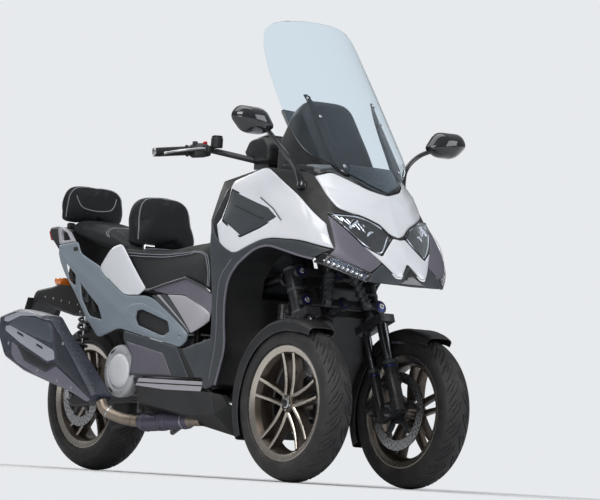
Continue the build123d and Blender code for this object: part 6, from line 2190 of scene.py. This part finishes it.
fairingPieces()
seatPieces()
print("seats made")
enginePieces()
rearPieces()
rearGuard()
callipers()
floorPieces()
undersidePieces()
print("engine and rear made")


# Camera and light

view = {"eye": (-7719.3, -9723.1, 40.0), "target": (-215.0, 90.0, 818.3),
        "up": (-0.0846, -0.0143, 0.9963), "lens": 210.8}
floorSettings = {"near": (0.76, 0.77, 0.78), "backdrop": (0.80, 0.82, 0.84), "fade": (1.5, 2.9)}
worldSettings = {"color": (0.93, 0.96, 1.0, 1), "strength": (0.13, 0.34)}
lamps = {
    "key": {"at": (-3.4, -2.6, 4.2), "size": (2.6, 2.0), "power": 108, "color": (1.0, 0.98, 0.95)},
    "front": {"at": (2.6, -4.2, 2.6), "size": (2.4, 2.0), "power": 46, "color": (0.93, 0.96, 1.0)},
    "rear": {"at": (0.5, 4.4, 3.2), "size": (3.6, 2.0), "power": 74, "color": (1.0, 1.0, 1.0)},
    "top": {"at": (-0.4, 0.0, 4.6), "size": (2.4, 4.2), "power": 62, "color": (1.0, 1.0, 1.0)},
    "low": {"at": (-4.4, -3.6, 0.9), "size": (2.4, 1.2), "power": 27, "color": (1.0, 0.99, 0.97)},
}


def aimed(obj, eye, target, up):
    # turns an object so that its -Z looks from the eye to the target and its Y follows the up line
    back = np.subtract(eye, target).astype(float)
    back /= np.linalg.norm(back)
    right = np.cross(up, back)
    right /= np.linalg.norm(right)
    turn = np.stack([right, np.cross(back, right), back], 1)
    obj.rotation_mode = "QUATERNION"
    obj.rotation_quaternion = Matrix(turn.tolist()).to_quaternion()
    obj.location = eye
    bpy.context.scene.collection.objects.link(obj)


def makeCamera():
    # the photograph's long lens just above the floor, rolled by the vehicle's lean in the photograph
    data = bpy.data.cameras.new("camera")
    data.lens, data.sensor_width, data.clip_end = view["lens"], 36.0, 200.0
    camera = bpy.data.objects.new("camera", data)
    shift = np.array([0, axleY, 0])
    aimed(camera, (np.array(view["eye"]) + shift) * 0.001, (np.array(view["target"]) + shift) * 0.001,
          view["up"])
    bpy.context.scene.camera = camera


def makeLamps():
    # soft boxes, all turned towards the middle of the vehicle
    for name, s in lamps.items():
        data = bpy.data.lights.new(name, "AREA")
        data.shape, data.size, data.size_y = "RECTANGLE", *s["size"]
        data.energy, data.color = s["power"], s["color"]
        aimed(bpy.data.objects.new(name, data), s["at"], (0.0, 0.0, 0.7), (0, 0, 1))


def makeFloor():
    # a wide pale floor with a slow change of tone; far from the vehicle it takes the backdrop's colour
    t = np.linspace(-60.0, 60.0, 5)
    x, y = np.meshgrid(t, t, indexing="ij")
    mesh = bpy.data.meshes.new("floor")
    mesh.from_pydata(np.stack([x, y, 0 * x], -1).reshape(-1, 3).tolist(), [], gridQuads(5, 5).tolist())
    floor = bpy.data.objects.new("floor", mesh)
    bpy.context.scene.collection.objects.link(floor)
    mat = finish("floorPale", floorSettings["near"], 0.9, mottle=(0.02, 1.5), dust=0)
    tree = mat.node_tree
    place = objectPlace(tree)
    far = addNode(tree, "ShaderNodeVectorMath", {"operation": "LENGTH"}, {0: place})
    share = addNode(tree, "ShaderNodeMapRange", {"interpolation_type": "SMOOTHSTEP"},
                    {"Value": far.outputs["Value"], "From Min": floorSettings["fade"][0],
                     "From Max": floorSettings["fade"][1]})
    glow = addNode(tree, "ShaderNodeEmission", None, {"Color": (*floorSettings["backdrop"], 1),
                                                      "Strength": 1.0})
    mix = addNode(tree, "ShaderNodeMixShader", None, {0: share.outputs[0],
                                                      1: tree.nodes["Principled BSDF"].outputs[0],
                                                      2: glow.outputs[0]})
    tree.links.new(mix.outputs[0], tree.nodes["Material Output"].inputs["Surface"])
    mesh.materials.append(mat)


def makeWorld():
    # even soft light from all round; the camera and clear pieces see a pale backdrop
    world = bpy.data.worlds.new("studio")
    bpy.context.scene.world = world
    world.use_nodes = True
    tree = world.node_tree
    tree.nodes.clear()
    out = addNode(tree, "ShaderNodeOutputWorld")
    path = addNode(tree, "ShaderNodeLightPath")
    seen = maths(tree, "MAXIMUM", path.outputs["Is Camera Ray"], path.outputs["Is Transmission Ray"])
    rise = heightOf(tree, addNode(tree, "ShaderNodeTexCoord").outputs["Generated"])
    strength = ranged(tree, rise, -0.1, 0.8, *worldSettings["strength"])
    soft = addNode(tree, "ShaderNodeBackground", None, {"Color": worldSettings["color"],
                                                        "Strength": strength})
    pale = addNode(tree, "ShaderNodeBackground", None, {"Color": (*floorSettings["backdrop"], 1),
                                                        "Strength": 1.0})
    mix = addNode(tree, "ShaderNodeMixShader", None, {0: seen, 1: soft.outputs[0], 2: pale.outputs[0]})
    tree.links.new(mix.outputs[0], out.inputs["Surface"])


makeCamera()
makeLamps()
makeFloor()
makeWorld()
bpy.context.scene.view_settings.view_transform = "Standard"
print("camera and light set")
